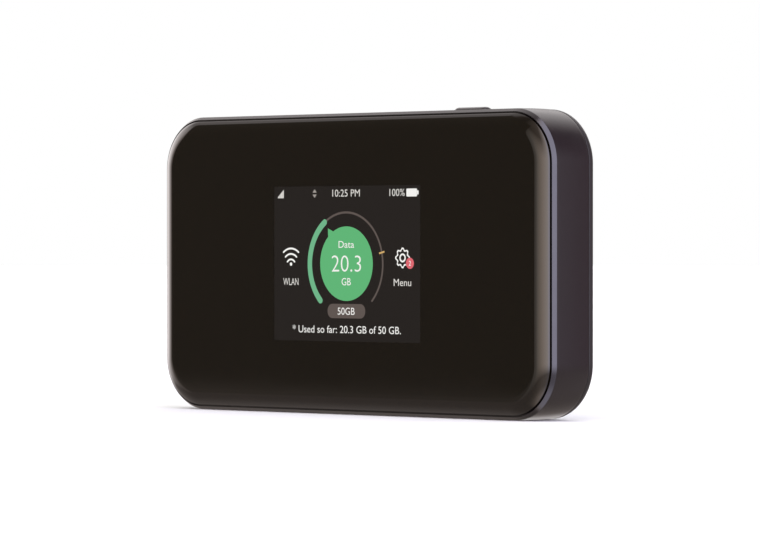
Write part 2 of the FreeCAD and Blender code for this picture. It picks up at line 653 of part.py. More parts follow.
def make_battery_pack():
    """The removable lithium pack, with round corners and softened long edges."""
    body = new_body("battery_pack")
    back = f"{dim('battery_front')} + {dim('battery_thickness')}"
    cell = face_sketch(body, back, across=dim("battery_x"))
    rounded_rectangle(cell, dim("battery_width"), dim("battery_height"), dim("battery_corner"))
    pad(body, cell, dim("battery_thickness"))
    round_edges(body, lies_at_y(value(at_depth(back))), dim("battery_edge"))
    round_edges(body, lies_at_y(value(at_depth(dim("battery_front")))), dim("battery_edge"))


def make_main_board():
    """The circuit board, cleared round the frame's bosses."""
    body = new_body("main_board")
    board = face_sketch(body, f"{dim('board_front')} + {dim('board_thickness')}")
    rounded_rectangle(board, dim("board_width"), dim("board_height"), dim("board_corner"))
    pad(body, board, dim("board_thickness"))
    holes = face_sketch(body, dim("board_front"))
    circles(holes, chassis_screw_places(), dim("boss_clearance"))
    pocket(body, holes, dim("board_thickness"))
    holes = face_sketch(body, dim("board_front"))
    circles(holes, board_screw_places(), dim("board_hole"))
    pocket(body, holes, dim("board_thickness"))


def make_power_button():
    """The power button: a slot-shaped cap through the top wall, a flange inside and a short stem."""
    body = new_body("power_button")
    inner = f"{dim('body_height')} - {dim('wall_thickness')} - {dim('flange_gap')}"
    flange = sketch_on(body, "XY_Plane", dim("button_x"), "0", f"{inner} - {dim('button_flange')}")
    slot(flange, dim("button_flange_length"), dim("button_flange_width"))
    pad(body, flange, dim("button_flange"))
    cap = sketch_on(body, "XY_Plane", dim("button_x"), "0", inner)
    slot(cap, dim("button_length"), dim("button_width"))
    pad(body, cap, f"{dim('button_height')} + {dim('wall_thickness')} + {dim('flange_gap')}")
    top = value(f"{dim('body_height')} + {dim('button_height')}")
    round_edges(body, lambda box: abs(box.ZMin - top) < TOUCHING, dim("button_edge"))
    stem = sketch_on(body, "XY_Plane", dim("button_x"), "0", f"{inner} - {dim('button_flange')}")
    slot(stem, dim("button_stem_length"), dim("button_stem_width"))
    pad(body, stem, dim("button_stem"), reverse=True)


def make_usb_shell():
    """The charging receptacle's drawn metal shell, open at the bottom edge."""
    body = new_body("usb_c_shell")
    shell = sketch_on(body, "XY_Plane", "0", "0", dim("usb_recess"))
    slot(shell, dim("usb_length"), dim("usb_thickness"))
    pad(body, shell, dim("usb_depth"))
    mouth = sketch_on(body, "XY_Plane", "0", "0", dim("usb_recess"))
    slot(mouth, inset(dim("usb_length"), dim("usb_wall")), inset(dim("usb_thickness"), dim("usb_wall")))
    pocket(body, mouth, f"{dim('usb_depth')} - {dim('usb_back')}", reverse=True)


def make_sim():
    """The SIM card with its cut corner, and the socket that holds it."""
    card = new_body("sim_card")
    sim_back = f"{dim('sim_front')} + {dim('sim_thickness')}"
    face = face_sketch(card, sim_back, across=dim("sim_x"), up=dim("sim_z"))
    rounded_rectangle(face, dim("sim_width"), dim("sim_height"), dim("sim_round"))
    pad(card, face, dim("sim_thickness"))
    corner = face_sketch(card, dim("sim_front"), across=f"{dim('sim_x')} - {dim('sim_width')} / 2",
                         up=f"{dim('sim_z')} + {dim('sim_height')} / 2")
    circles(corner, [("0", "0")], dim("sim_corner"))
    pocket(card, corner, dim("sim_thickness"))

    end, clearance = dim("sim_socket_end"), dim("sim_clearance")
    outer = block("sim_socket_outer", dim("sim_x"), dim("sim_z"), f"{dim('sim_width')} + 2 * {end}",
                  f"{dim('sim_height')} + 2 * {dim('sim_socket_margin')}", dim("sim_socket_front"),
                  dim("sim_socket_thickness"))
    # The slot is cut a little past the socket's right end, where the card leaves.
    hollow = block("sim_socket_slot", f"{dim('sim_x')} + {end}", dim("sim_z"),
                   f"{dim('sim_width')} + 2 * ({end} + {clearance})",
                   f"{dim('sim_height')} + 2 * {clearance}",
                   f"{dim('sim_front')} - {clearance}", f"{dim('sim_thickness')} + 2 * {clearance}")
    keep(cut("sim_socket_shape", outer, hollow), "sim_socket")


def block_of(node):
    """The block whose six cells carry this node's name."""
    return block(f"{node}_block", *(dim(f"{node}_{name}") for name in (
        "x", "z", "width", "height", "front", "thickness")))


def make_plates():
    """Every flat piece, each a block of its own."""
    for node, *_ in PLATES:
        keep(block_of(node), node)


def make_groups():
    """Like pieces that share a node, each a separate solid."""
    for node, *_, centres in GROUPS:
        width, height, front, thickness = (
            dim(f"{node}_{name}") for name in ("width", "height", "front", "thickness"))
        pieces = [block(f"{node}_{number}", x, z, width, height, front, thickness)
                  for number, (x, z) in enumerate(centres, start=1)]
        keep(join("Part::Compound", f"{node}_group", pieces), node)


def make_shields():
    """Shield cans: thin drawn lids, open towards the board."""
    board_back = f"{dim('board_front')} + {dim('board_thickness')}"
    for node, *_ in CANS:
        x, z, width, height = (dim(f"{node}_{name}") for name in ("x", "z", "width", "height"))
        outer = block(f"{node}_outer", x, z, width, height, board_back, dim("can_height"))
        hollow = block(f"{node}_hollow", x, z, inset(width, dim("can_wall")), inset(height, dim("can_wall")),
                       board_back, f"{dim('can_height')} - {dim('can_wall')}")
        keep(cut(f"{node}_can", outer, hollow), node)


def make_display_flex():
    """The display's flexible circuit: out of the cell, back past the shelf and on to the connector."""
    middle, width, sheet_thickness = dim("display_panel_z"), dim("flex_width"), dim("flex_thickness")
    start, turn, end = dim("flex_start_x"), dim("flex_turn_x"), dim("flex_end_x")
    fall = f"{dim('flex_end_depth')} - {dim('flex_start_depth')} + {sheet_thickness}"
    leave = block("flex_leave", f"({start} + {turn}) / 2", middle, f"{turn} - {start}", width,
                  dim("flex_start_depth"), sheet_thickness)
    drop = block("flex_drop", f"{turn} - {sheet_thickness} / 2", middle, sheet_thickness, width,
                 dim("flex_start_depth"), fall)
    land = block("flex_land", f"({turn} - {sheet_thickness} + {end}) / 2", middle,
                 f"{end} - {turn} + {sheet_thickness}", width, dim("flex_end_depth"), sheet_thickness)
    keep(join("Part::MultiFuse", "display_flex_strip", [leave, drop, land]), "display_flex")


def make_switches():
    """Both tactile switches, each with a well for its plunger, and the reset switch's round plunger."""
    around, deep = dim("plunger_clearance"), dim("plunger_well")
    side_top = f"{dim('switch_body_z')} + {dim('switch_body_height')} / 2"
    side_well = block("switch_well", dim("button_x"), f"{side_top} - {deep} / 2",
                      f"{dim('switch_plunger_width')} + 2 * {around}", deep,
                      f"{dim('switch_plunger_front')} - {around}",
                      f"{dim('switch_plunger_thickness')} + 2 * {around}")
    keep(cut("switch_body_shape", block_of("switch_body"), side_well), "switch_body")
    reset_back = f"{dim('reset_switch_front')} + {dim('reset_switch_thickness')}"
    reset_well = rod("reset_well", dim("reset_x"), dim("reset_z"),
                     f"{dim('reset_plunger_radius')} + {around}", f"{reset_back} - {deep}", deep)
    keep(cut("reset_switch_shape", block_of("reset_switch"), reset_well), "reset_switch")
    keep(rod("reset_plunger_rod", dim("reset_x"), dim("reset_z"), dim("reset_plunger_radius"),
             dim("reset_plunger_front"), dim("reset_plunger_length")), "reset_plunger")


def make_battery_connector():
    """The board's battery contact block, with a slot for each spring."""
    front = f"{dim('board_front')} + {dim('board_thickness')}"
    outer = block("battery_connector_outer", dim("contact_block_x"), MID, dim("contact_block_width"),
                  dim("contact_block_height"), front, dim("contact_block_depth"))
    left_side = f"{dim('contact_block_x')} - {dim('contact_block_width')} / 2"
    slots = [block(f"battery_connector_slot_{number}", left_side, z, f"2 * {dim('contact_slot_width')}",
                   dim("contact_slot_width"), dim("contact_slot_front"), dim("contact_slot_depth"))
             for number, z in enumerate(CONTACT_HEIGHTS, start=1)]
    keep(cut("battery_connector_block", outer, join("Part::MultiFuse", "battery_connector_slots", slots)),
         "battery_connector")


def make_antenna_clips():
    """Spring clips that carry each antenna's signal from the board's edge."""
    width, back = dim("clip_width"), f"{dim('board_front')} + {dim('board_thickness')}"
    side, edge = dim("clip_side_length"), dim("clip_edge_length")
    places = ((f"-{dim('clip_side_x')}", MID, side, width), (dim("clip_side_x"), MID, side, width),
              (dim("wifi_antenna_top_x"), dim("clip_top_z"), width, edge),
              (dim("wifi_antenna_bottom_x"), dim("clip_bottom_z"), width, edge))
    clips = [block(f"antenna_clip_{number}", x, z, wide, tall, back, dim("clip_thickness"))
             for number, (x, z, wide, tall) in enumerate(places, start=1)]
    keep(join("Part::Compound", "antenna_clip_group", clips), "antenna_clips")


def make_screws(label, places, head_front, length):
    """Pan-head screws driven from the back."""
    screws = []
    tall = dim("screw_head_height")
    for number, (x, z) in enumerate(places, start=1):
        centre = f"{z} + {MID}"
        head = rod(f"{label}_head_{number}", x, centre, dim("screw_head"), head_front, tall)
        shank = rod(f"{label}_shank_{number}", x, centre, dim("screw_shank"), f"{head_front} - {length}",
                    length)
        recess = rod(f"{label}_recess_{number}", x, centre, dim("screw_recess"),
                     f"{head_front} + {tall} / 2", tall)
        solid = join("Part::MultiFuse", f"{label}_solid_{number}", [head, shank])
        screws.append(cut(f"{label}_{number}", solid, recess))
    keep(join("Part::Compound", f"{label}_group", screws), label)


def check_model():
    """Stop on any failed object or unusable shape."""
    doc.recompute()
    for item in doc.Objects:
        if any(word in ("Invalid", "Error") for word in item.State):
            raise RuntimeError(f"{item.Name} failed: {item.State}")
    for item in sub_parts:
        if item.Shape.isNull() or not item.Shape.isValid() or not item.Shape.Solids:
            raise RuntimeError(f"{item.Label} has no usable shape")


fill_sheet()
make_cover_lens()
make_lens_adhesive()
make_mid_frame()
make_battery_cover()
make_inner_chassis()
make_battery_pack()
make_main_board()
make_power_button()
make_usb_shell()
make_sim()
make_plates()
make_groups()
make_shields()
make_display_flex()
make_switches()
make_battery_connector()
make_antenna_clips()
make_screws("chassis_screws", chassis_screw_places(), f"{dim('chassis_front')} + {dim('chassis_plate')}",
            dim("screw_length"))
make_screws("board_screws", board_screw_places(), f"{dim('board_front')} + {dim('board_thickness')}",
            dim("board_screw_length"))
check_model()

os.makedirs("parts", exist_ok=True)
for sub_part in sub_parts:
    sub_part.Shape.exportStep(f"parts/{sub_part.Label}.step")
    print(f"{sub_part.Label}: {len(sub_part.Shape.Solids)} solid(s), {sub_part.Shape.Volume:.2f} mm3")
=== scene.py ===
import json
import math

import bmesh
import bpy
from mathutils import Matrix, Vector


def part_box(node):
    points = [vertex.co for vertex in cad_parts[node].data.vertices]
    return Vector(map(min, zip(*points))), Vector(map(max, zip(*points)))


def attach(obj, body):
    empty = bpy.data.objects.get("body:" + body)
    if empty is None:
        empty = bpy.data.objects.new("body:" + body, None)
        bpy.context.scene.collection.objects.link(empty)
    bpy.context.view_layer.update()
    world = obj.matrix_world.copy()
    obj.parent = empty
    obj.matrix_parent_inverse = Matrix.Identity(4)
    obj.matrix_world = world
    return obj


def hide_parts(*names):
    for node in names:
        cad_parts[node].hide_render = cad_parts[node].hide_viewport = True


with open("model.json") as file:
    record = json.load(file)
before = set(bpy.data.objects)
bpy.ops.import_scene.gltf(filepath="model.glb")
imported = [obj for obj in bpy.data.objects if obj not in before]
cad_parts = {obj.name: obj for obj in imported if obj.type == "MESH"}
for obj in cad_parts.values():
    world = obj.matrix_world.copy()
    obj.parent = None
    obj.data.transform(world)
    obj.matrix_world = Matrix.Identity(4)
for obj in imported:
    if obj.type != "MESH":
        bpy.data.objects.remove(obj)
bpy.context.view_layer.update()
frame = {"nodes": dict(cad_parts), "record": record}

# The looks of a mobile hotspot: everything is in metres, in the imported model's own frame.
# "Depth" is measured back from the front of the lens, and "inset" inwards from the outline.

MM = 0.001

frame_low, frame_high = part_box("mid_frame")
lens_low, lens_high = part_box("cover_lens")
cover_low, cover_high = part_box("battery_cover")
button_low, button_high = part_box("power_button")

WIDTH = frame_high.x - frame_low.x
HEIGHT = frame_high.z - frame_low.z
FRONT = lens_low.y
MIDDLE = HEIGHT / 2
CORNER = 12.75 * MM

# Lens
LENS_INSET = (WIDTH - (lens_high.x - lens_low.x)) / 2
LENS_FLAT_INSET = 4.6 * MM
LENS_EDGE_RADIUS = 4.5 * MM
LENS_THICKNESS = 1.0 * MM
LENS_RIM_INSET = 3.2 * MM
LENS_RIM_DEPTH = lens_high.y - lens_low.y
LENS_RIM_SOFTNESS = 0.08 * MM
LENS_FLAT_MARGIN = 0.6 * MM

# Frame
BEVEL_INSET = 0.76 * MM
BEVEL_END = 2.76 * MM
RECESS_INSET = 0.81 * MM
SHELF_FRONT = 2.35 * MM
SHELF_BACK = 3.35 * MM
SHELF_INSET = 8.0 * MM
FRAME_LIP = 0.02 * MM
WALL = 1.6 * MM
FRAME_FRONT = frame_low.y - FRONT
SEAM = frame_high.y - FRONT
EDGE_SOFTNESS = 0.12 * MM
BEVEL_SOFTNESS = 0.06 * MM
CROWN = 0.10 * MM

# Openings in the frame
BUTTON_CLEARANCE = 0.12 * MM
BUTTON_HOLE_FLARE = 0.2 * MM
PORT_GAP = 0.5 * MM
NOTCH_HALF_SIZE = 6.0 * MM
NOTCH_CORNER = 1.0 * MM
NOTCH_DEPTH = 0.9 * MM
NOTCH_HALF_WIDTH = 0.7 * MM
CUT_OVERRUN = 0.1 * MM

# Power button
BUTTON_LENGTH = 10.6 * MM
BUTTON_WIDTH = 3.0 * MM
BUTTON_X = (button_low.x + button_high.x) / 2
BUTTON_END_STEPS = 16
DOME_HEIGHT = 0.55 * MM
DOME_REACH = 1.2 * MM
DOME_START = math.radians(32)
DOME_STEPS = 8
CAP_STRAIGHT_END = 0.25 * MM
DISH_INSET = 1.35 * MM
DISH_DEPTH = 0.02 * MM
STEM = (5.0 * MM, 1.8 * MM)
FLANGE = (12.0 * MM, 4.4 * MM)
FLANGE_THICKNESS = 0.6 * MM
FLANGE_GAP = 0.05 * MM

# Rear cover
COVER_FRONT = 13.72 * MM
COVER_BACK = cover_high.y - FRONT
COVER_EDGE = 1.8 * MM
COVER_SKIN = 1.2 * MM
LIP_INSET = 1.75 * MM
LIP_THICKNESS = 0.8 * MM
LIP_FRONT = cover_low.y - FRONT
COVER_ARC_STEPS = 16

# Battery
BATTERY_RIM = 2.2 * MM
BATTERY_CORNER = 1.6 * MM
BATTERY_EDGE = 0.55 * MM
RIM_SOFTNESS = 0.1 * MM
LABEL_RECESS = 0.18 * MM
LABEL_THICKNESS = 0.1 * MM
LABEL_MARGIN = 0.35 * MM

# Display: the lit area of a 2.4 inch 4:3 panel
SCREEN_WIDTH = 48.96 * MM
SCREEN_HEIGHT = 36.72 * MM
WINDOW_THICKNESS = 0.45 * MM
WINDOW_OVERLAP = 0.02 * MM
PICTURE_DEPTH = 0.30 * MM
LAYER = 0.025 * MM
INK = 0.008 * MM
PIXEL = SCREEN_WIDTH / 320

# Mesh detail
ARC_STEPS = 28
TIGHTEST_CORNER = 0.05 * MM
SUPPORT_REACH = 0.5 * MM
WELD_DISTANCE = 1e-7
SHARP_EDGE = math.radians(25)


def srgb(red, green, blue):
    """A linear colour from 0-255 display values."""
    def linear(value):
        value /= 255
        return value / 12.92 if value <= 0.04045 else ((value + 0.055) / 1.055) ** 2.4
    return (linear(red), linear(green), linear(blue), 1.0)


# --- mesh building --------------------------------------------------------------------------------

def travel(degrees):
    """The direction of travel along an anticlockwise arc, at an angle from its centre."""
    return Vector((-math.sin(math.radians(degrees)), 0, math.cos(math.radians(degrees))))


def ring(inset, depth, half_width=WIDTH / 2, half_height=HEIGHT / 2, corner=CORNER, centre=(0.0, MIDDLE)):
    """A round-cornered rectangle seen from the front, as points at one depth."""
    radius = max(corner - inset, TIGHTEST_CORNER)
    reach_x, reach_z = half_width - inset - radius, half_height - inset - radius
    points = []
    for sign_x, sign_z, start in ((1, 1, 0), (-1, 1, 90), (-1, -1, 180), (1, -1, 270)):
        arc = []
        for step in range(ARC_STEPS + 1):
            angle = math.radians(start + 90 * step / ARC_STEPS)
            arc.append(Vector((centre[0] + sign_x * reach_x + radius * math.cos(angle), FRONT + depth,
                               centre[1] + sign_z * reach_z + radius * math.sin(angle))))
        # A support point just outside each end of the arc keeps the straight sides flat.
        before, after = (reach_z, reach_x) if start in (0, 180) else (reach_x, reach_z)
        arc.insert(0, arc[0] - travel(start) * min(SUPPORT_REACH, before / 2))
        arc.append(arc[-1] + travel(start + 90) * min(SUPPORT_REACH, after / 2))
        points += arc
    return points


def soften(corners, steps=4):
    """Round a profile's corners. Each corner is (inset, depth, radius), and the ends stay as they are."""
    softened = []
    for index, (inset, depth, radius) in enumerate(corners):
        if radius == 0 or index in (0, len(corners) - 1):
            softened.append((inset, depth))
            continue
        here = Vector((inset, depth))
        to_last = Vector(corners[index - 1][:2]) - here
        to_next = Vector(corners[index + 1][:2]) - here
        half = to_last.angle(to_next) / 2
        reach = min(radius / math.tan(half), to_last.length * 0.45, to_next.length * 0.45)
        start, end = here + to_last.normalized() * reach, here + to_next.normalized() * reach
        for step in range(steps + 1):
            share = step / steps
            point = start * (1 - share) ** 2 + here * (2 * share * (1 - share)) + end * share ** 2
            softened.append(tuple(point))
    return softened


def loft(name, rings, closed=False, cap_first=False, cap_last=False):
    """Skin a row of rings that have the same number of points."""
    mesh = bmesh.new()
    rows = [[mesh.verts.new(point) for point in points] for points in rings]
    following_rows = rows[1:] + rows[:1] if closed else rows[1:]
    for here, after in zip(rows, following_rows):
        count = len(here)
        for index in range(count):
            following = (index + 1) % count
            mesh.faces.new((here[index], here[following], after[following], after[index]))
    if cap_first:
        mesh.faces.new(rows[0])
    if cap_last:
        mesh.faces.new(reversed(rows[-1]))
    bmesh.ops.remove_doubles(mesh, verts=mesh.verts, dist=WELD_DISTANCE)
    bmesh.ops.dissolve_degenerate(mesh, edges=mesh.edges, dist=WELD_DISTANCE)
    bmesh.ops.recalc_face_normals(mesh, faces=mesh.faces)
    return finish_mesh(name, mesh)


def finish_mesh(name, mesh, smooth=True):
    """Turn a bmesh into a linked object."""
    data = bpy.data.meshes.new(name)
    mesh.to_mesh(data)
    mesh.free()
    for polygon in data.polygons:
        polygon.use_smooth = smooth
    piece = bpy.data.objects.new(name, data)
    bpy.context.scene.collection.objects.link(piece)
    return piece


def keep_sharp_edges(piece):
    """Smooth shading that keeps real edges sharp."""
    mesh = bmesh.new()
    mesh.from_mesh(piece.data)
    for edge in mesh.edges:
        edge.smooth = len(edge.link_faces) != 2 or edge.calc_face_angle(0) < SHARP_EDGE
    mesh.to_mesh(piece.data)
    mesh.free()


def subtract(piece, cutter):
    """Cut one piece with another, and drop the cutter."""
    modifier = piece.modifiers.new("cut", "BOOLEAN")
    modifier.operation = "DIFFERENCE"
    modifier.solver = "EXACT"
    modifier.object = cutter
    bpy.context.view_layer.update()
    evaluated = piece.evaluated_get(bpy.context.evaluated_depsgraph_get())
    piece.data = bpy.data.meshes.new_from_object(evaluated)
    piece.modifiers.clear()
    bpy.data.objects.remove(cutter)


def slot_ring(length, width, z, centre_x, steps):
    """A slot shape seen from above, its long way along X, with this many steps round each end."""
    radius, half = width / 2, (length - width) / 2
    points = []
    for start, side in ((-90, 1), (90, -1)):
        for step in range(steps + 1):
            angle = math.radians(start + 180 * step / steps)
            x = centre_x + side * half + radius * math.cos(angle)
            points.append(Vector((x, radius * math.sin(angle), z)))
    return points


def slot_prism(name, length, width, low_z, high_z, centre_x, flare=0.0):
    """A slot-shaped prism along Z, which can widen at its upper end."""
    levels = [(0, low_z), (0, high_z - flare)] + ([(flare, high_z)] if flare else [])
    rings = [slot_ring(length + 2 * grow, width + 2 * grow, z, centre_x, ARC_STEPS // 2) for grow, z in levels]
    return loft(name, rings, cap_first=True, cap_last=True)


# --- materials ------------------------------------------------------------------------------------

def new_material(name, colour, roughness, metallic=0.0, ior=1.5):
    """A Principled material with its plain values set on the shader's own sockets."""
    material = bpy.data.materials.new(name)
    material.use_nodes = True
    shader = material.node_tree.nodes["Principled BSDF"]
    shader.inputs["Base Color"].default_value = colour
    shader.inputs["Roughness"].default_value = roughness
    shader.inputs["Metallic"].default_value = metallic
    shader.inputs["IOR"].default_value = ior
    return material, material.node_tree, shader


def add_node(tree, kind, **values):
    """A node with some of its inputs set."""
    node = tree.nodes.new(kind)
    for name, value in values.items():
        node.inputs[name.replace("_", " ")].default_value = value
    return node


def place_noise(tree, size, detail=3.0, stretch=(1, 1, 1), roughness=0.5):
    """Noise in the part's own coordinates, with features about this many metres across."""
    place = tree.nodes.new("ShaderNodeTexCoord")
    scale = add_node(tree, "ShaderNodeMapping", Scale=stretch)
    noise = add_node(tree, "ShaderNodeTexNoise", Scale=1 / size, Detail=detail, Roughness=roughness)
    tree.links.new(place.outputs["Object"], scale.inputs["Vector"])
    tree.links.new(scale.outputs["Vector"], noise.inputs["Vector"])
    return noise.outputs["Fac"]


def remap(tree, value, low, high, start=0.3, end=0.7):
    """Stretch a 0-1 value to a range."""
    node = add_node(tree, "ShaderNodeMapRange", From_Min=start, From_Max=end, To_Min=low, To_Max=high)
    tree.links.new(value, node.inputs["Value"])
    return node.outputs["Result"]


def combine(tree, operation, first, second=0.0):
    """Maths on one or two values, each of which may be a socket or a number."""
    node = tree.nodes.new("ShaderNodeMath")
    node.operation = operation
    for socket, value in zip(node.inputs, (first, second)):
        if isinstance(value, (int, float)):
            socket.default_value = value
        else:
            tree.links.new(value, socket)
    return node.outputs[0]


# Where a Mix node keeps its two colours and their mixture.
MIX_FIRST, MIX_SECOND, MIX_RESULT = 6, 7, 2


def blend_colours(tree, factor, first, second):
    """Mix two colours by a value. The first may be a socket or a plain colour."""
    node = tree.nodes.new("ShaderNodeMix")
    node.data_type = "RGBA"
    tree.links.new(factor, node.inputs[0])
    if isinstance(first, tuple):
        node.inputs[MIX_FIRST].default_value = first
    else:
        tree.links.new(first, node.inputs[MIX_FIRST])
    node.inputs[MIX_SECOND].default_value = second
    return node.outputs[MIX_RESULT]


def add_bump(tree, shader, height, distance, strength=1.0):
    """Drive the shader's normal from a height."""
    bump = add_node(tree, "ShaderNodeBump", Strength=strength, Distance=distance)
    tree.links.new(height, bump.inputs["Height"])
    tree.links.new(bump.outputs["Normal"], shader.inputs["Normal"])


def scaled(colour, factor):
    """A colour made lighter or darker."""
    return (colour[0] * factor, colour[1] * factor, colour[2] * factor, 1.0)


def textured(name, colour, roughness, grain=0.15 * MM, relief=0.004 * MM, spread=0.12, metallic=0.0,
             roughness_spread=0.06, stretch=(1, 1, 1), ior=1.5, coat=0.0):
    """A moulded, painted or rolled surface: fine relief, and slow changes of tone and gloss."""
    material, tree, shader = new_material(name, colour, roughness, metallic, ior)
    tone = remap(tree, place_noise(tree, 9 * MM, detail=2), 0.0, 1.0)
    mixed = blend_colours(tree, tone, scaled(colour, 1 - spread), scaled(colour, 1 + spread))
    tree.links.new(mixed, shader.inputs["Base Color"])
    gloss = remap(tree, place_noise(tree, 3 * MM, detail=4),
                  roughness - roughness_spread, roughness + roughness_spread)
    tree.links.new(gloss, shader.inputs["Roughness"])
    add_bump(tree, shader, place_noise(tree, grain, detail=3, stretch=stretch), relief)
    shader.inputs["Coat Weight"].default_value = coat
    shader.inputs["Coat Roughness"].default_value = 0.08
    return material


def lens_material():
    """Hard-coated black lens: very smooth, with the faintest haze of handling."""
    colour = (0.0030, 0.0019, 0.0008, 1.0)
    material, tree, shader = new_material("lens_black", colour, 0.03)
    haze = remap(tree, place_noise(tree, 14 * MM, detail=5), 0.02, 0.05)
    tree.links.new(haze, shader.inputs["Roughness"])
    dust = blend_colours(tree, remap(tree, place_noise(tree, 0.3 * MM, detail=2), 0.0, 1.0, 0.66, 0.8),
                         colour, scaled(colour, 1.8))
    tree.links.new(dust, shader.inputs["Base Color"])
    return material


def window_material():
    """The lens's clear window over the display."""
    material, tree, shader = new_material("lens_clear", (0.96, 0.96, 0.95, 1.0), 0.0, ior=1.5)
    shader.inputs["Transmission Weight"].default_value = 1.0
    haze = remap(tree, place_noise(tree, 14 * MM, detail=5), 0.0, 0.02)
    tree.links.new(haze, shader.inputs["Roughness"])
    return material


def lit_material(name, colour, glow=1.0):
    """Part of the lit picture, with the fine dark lattice between a panel's pixels."""
    material, tree, shader = new_material(name, (0.0, 0.0, 0.0, 1.0), 0.5)
    place = tree.nodes.new("ShaderNodeTexCoord")
    split = tree.nodes.new("ShaderNodeSeparateXYZ")
    tree.links.new(place.outputs["Object"], split.inputs["Vector"])
    cells = []
    for axis in ("X", "Z"):
        across = combine(tree, "FRACT", combine(tree, "MULTIPLY", split.outputs[axis], 1 / PIXEL))
        cells.append(remap(tree, across, 0.9, 1.04, 0.0, 0.16))
    lattice = blend_colours(tree, combine(tree, "MULTIPLY", *cells), (0.0, 0.0, 0.0, 1.0), colour)
    tree.links.new(lattice, shader.inputs["Emission Color"])
    shader.inputs["Emission Strength"].default_value = glow
    shader.inputs["Specular IOR Level"].default_value = 0.0
    return material


def flex_material():
    """Amber flexible circuit with copper tracks showing through."""
    colour = (0.22, 0.085, 0.02, 1)
    material, tree, shader = new_material("flex_circuit", colour, 0.3)
    place = tree.nodes.new("ShaderNodeTexCoord")
    wave = add_node(tree, "ShaderNodeTexWave", Scale=1 / (2.4 * MM), Distortion=1.5, Detail=1.0)
    tree.links.new(place.outputs["Object"], wave.inputs["Vector"])
    tracks = remap(tree, wave.outputs["Fac"], 0.0, 1.0, 0.45, 0.55)
    tree.links.new(blend_colours(tree, tracks, colour, (0.42, 0.2, 0.06, 1)), shader.inputs["Base Color"])
    add_bump(tree, shader, tracks, 0.01 * MM)
    return material


def board_material():
    """Green solder mask with squared-off tracks running under it."""
    colour = (0.008, 0.062, 0.026, 1)
    material, tree, shader = new_material("circuit_board", colour, 0.25)
    place = tree.nodes.new("ShaderNodeTexCoord")
    cells = add_node(tree, "ShaderNodeTexVoronoi", Scale=1 / (3.2 * MM), Randomness=0.75)
    cells.distance = "CHEBYCHEV"
    tree.links.new(place.outputs["Object"], cells.inputs["Vector"])
    lanes = combine(tree, "PINGPONG", combine(tree, "MULTIPLY", cells.outputs["Distance"], 9.0), 1.0)
    tracks = remap(tree, lanes, 0.0, 1.0, 0.55, 0.7)
    tree.links.new(blend_colours(tree, tracks, colour, (0.016, 0.115, 0.045, 1)), shader.inputs["Base Color"])
    gloss = remap(tree, place_noise(tree, 2 * MM), 0.2, 0.3)
    tree.links.new(gloss, shader.inputs["Roughness"])
    add_bump(tree, shader, tracks, 0.02 * MM)
    return material


def slot_materials():
    """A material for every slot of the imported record."""
    satin = textured("frame_satin", (0.0040, 0.0024, 0.0036, 1), 0.19, grain=0.10 * MM, relief=0.0012 * MM,
                     spread=0.06, roughness_spread=0.02)
    return {
        "lens_black": lens_material(),
        "adhesive": textured("adhesive", (0.012, 0.012, 0.012, 1), 0.8, relief=0.02 * MM),
        "sensor_glass": textured("sensor_glass", (0.02, 0.02, 0.022, 1), 0.08, relief=0.0002 * MM),
        "display_glass": textured("display_glass", (0.01, 0.01, 0.012, 1), 0.06, relief=0.0002 * MM),
        "white_plastic": textured("white_plastic", (0.75, 0.75, 0.72, 1), 0.4),
        "steel_sheet": textured("steel_sheet", (0.55, 0.55, 0.56, 1), 0.3, metallic=1.0, stretch=(1, 1, 12)),
        "flex_circuit": flex_material(),
        "black_plastic": textured("black_plastic", (0.018, 0.018, 0.019, 1), 0.45),
        "frame_plastic": satin,
        "circuit_board": board_material(),
        "chip_epoxy": textured("chip_epoxy", (0.018, 0.018, 0.02, 1), 0.55, grain=0.08 * MM,
                               relief=0.006 * MM),
        "ferrite": textured("ferrite", (0.06, 0.055, 0.05, 1), 0.6, relief=0.01 * MM),
        "tinned_steel": textured("tinned_steel", (0.66, 0.66, 0.64, 1), 0.28, metallic=1.0, grain=0.3 * MM,
                                 relief=0.003 * MM, stretch=(1, 1, 6)),
        "silicone_pad": textured("silicone_pad", (0.32, 0.37, 0.52, 1), 0.7, grain=0.3 * MM,
                                 relief=0.02 * MM),
        "graphite_sheet": textured("graphite_sheet", (0.05, 0.05, 0.052, 1), 0.42, metallic=0.4,
                                   stretch=(8, 1, 1)),
        "plated_steel": textured("plated_steel", (0.62, 0.62, 0.63, 1), 0.22, metallic=1.0,
                                 relief=0.001 * MM),
        "card_plastic": textured("card_plastic", (0.78, 0.78, 0.75, 1), 0.38, grain=0.2 * MM,
                                 relief=0.002 * MM, spread=0.04),
        "gold_contact": textured("gold_contact", (0.86, 0.62, 0.22, 1), 0.24, metallic=1.0,
                                 relief=0.001 * MM),
        "button_plastic": satin,
        "chassis_plastic": textured("chassis_plastic", (0.022, 0.022, 0.024, 1), 0.5, grain=0.2 * MM,
                                    relief=0.012 * MM),
        "screw_steel": textured("screw_steel", (0.12, 0.12, 0.125, 1), 0.35, metallic=1.0,
                                relief=0.003 * MM),
        "battery_wrap": textured("battery_wrap", (0.035, 0.036, 0.04, 1), 0.38, grain=0.5 * MM,
                                 relief=0.006 * MM, coat=0.3),
        "cover_plastic": textured("cover_plastic", (0.006, 0.0045, 0.005, 1), 0.40, grain=0.16 * MM,
                                  relief=0.005 * MM, spread=0.04, roughness_spread=0.015),
    }


MATERIALS = slot_materials()


def finish_piece(piece, body, slot, stands_for=None, material=None):
    """Give a piece its material and its body, and hide the CAD node it stands for."""
    piece.data.materials.clear()
    piece.data.materials.append(material or MATERIALS[slot])
    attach(piece, body)
    if stands_for:
        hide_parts(stands_for)
    return piece


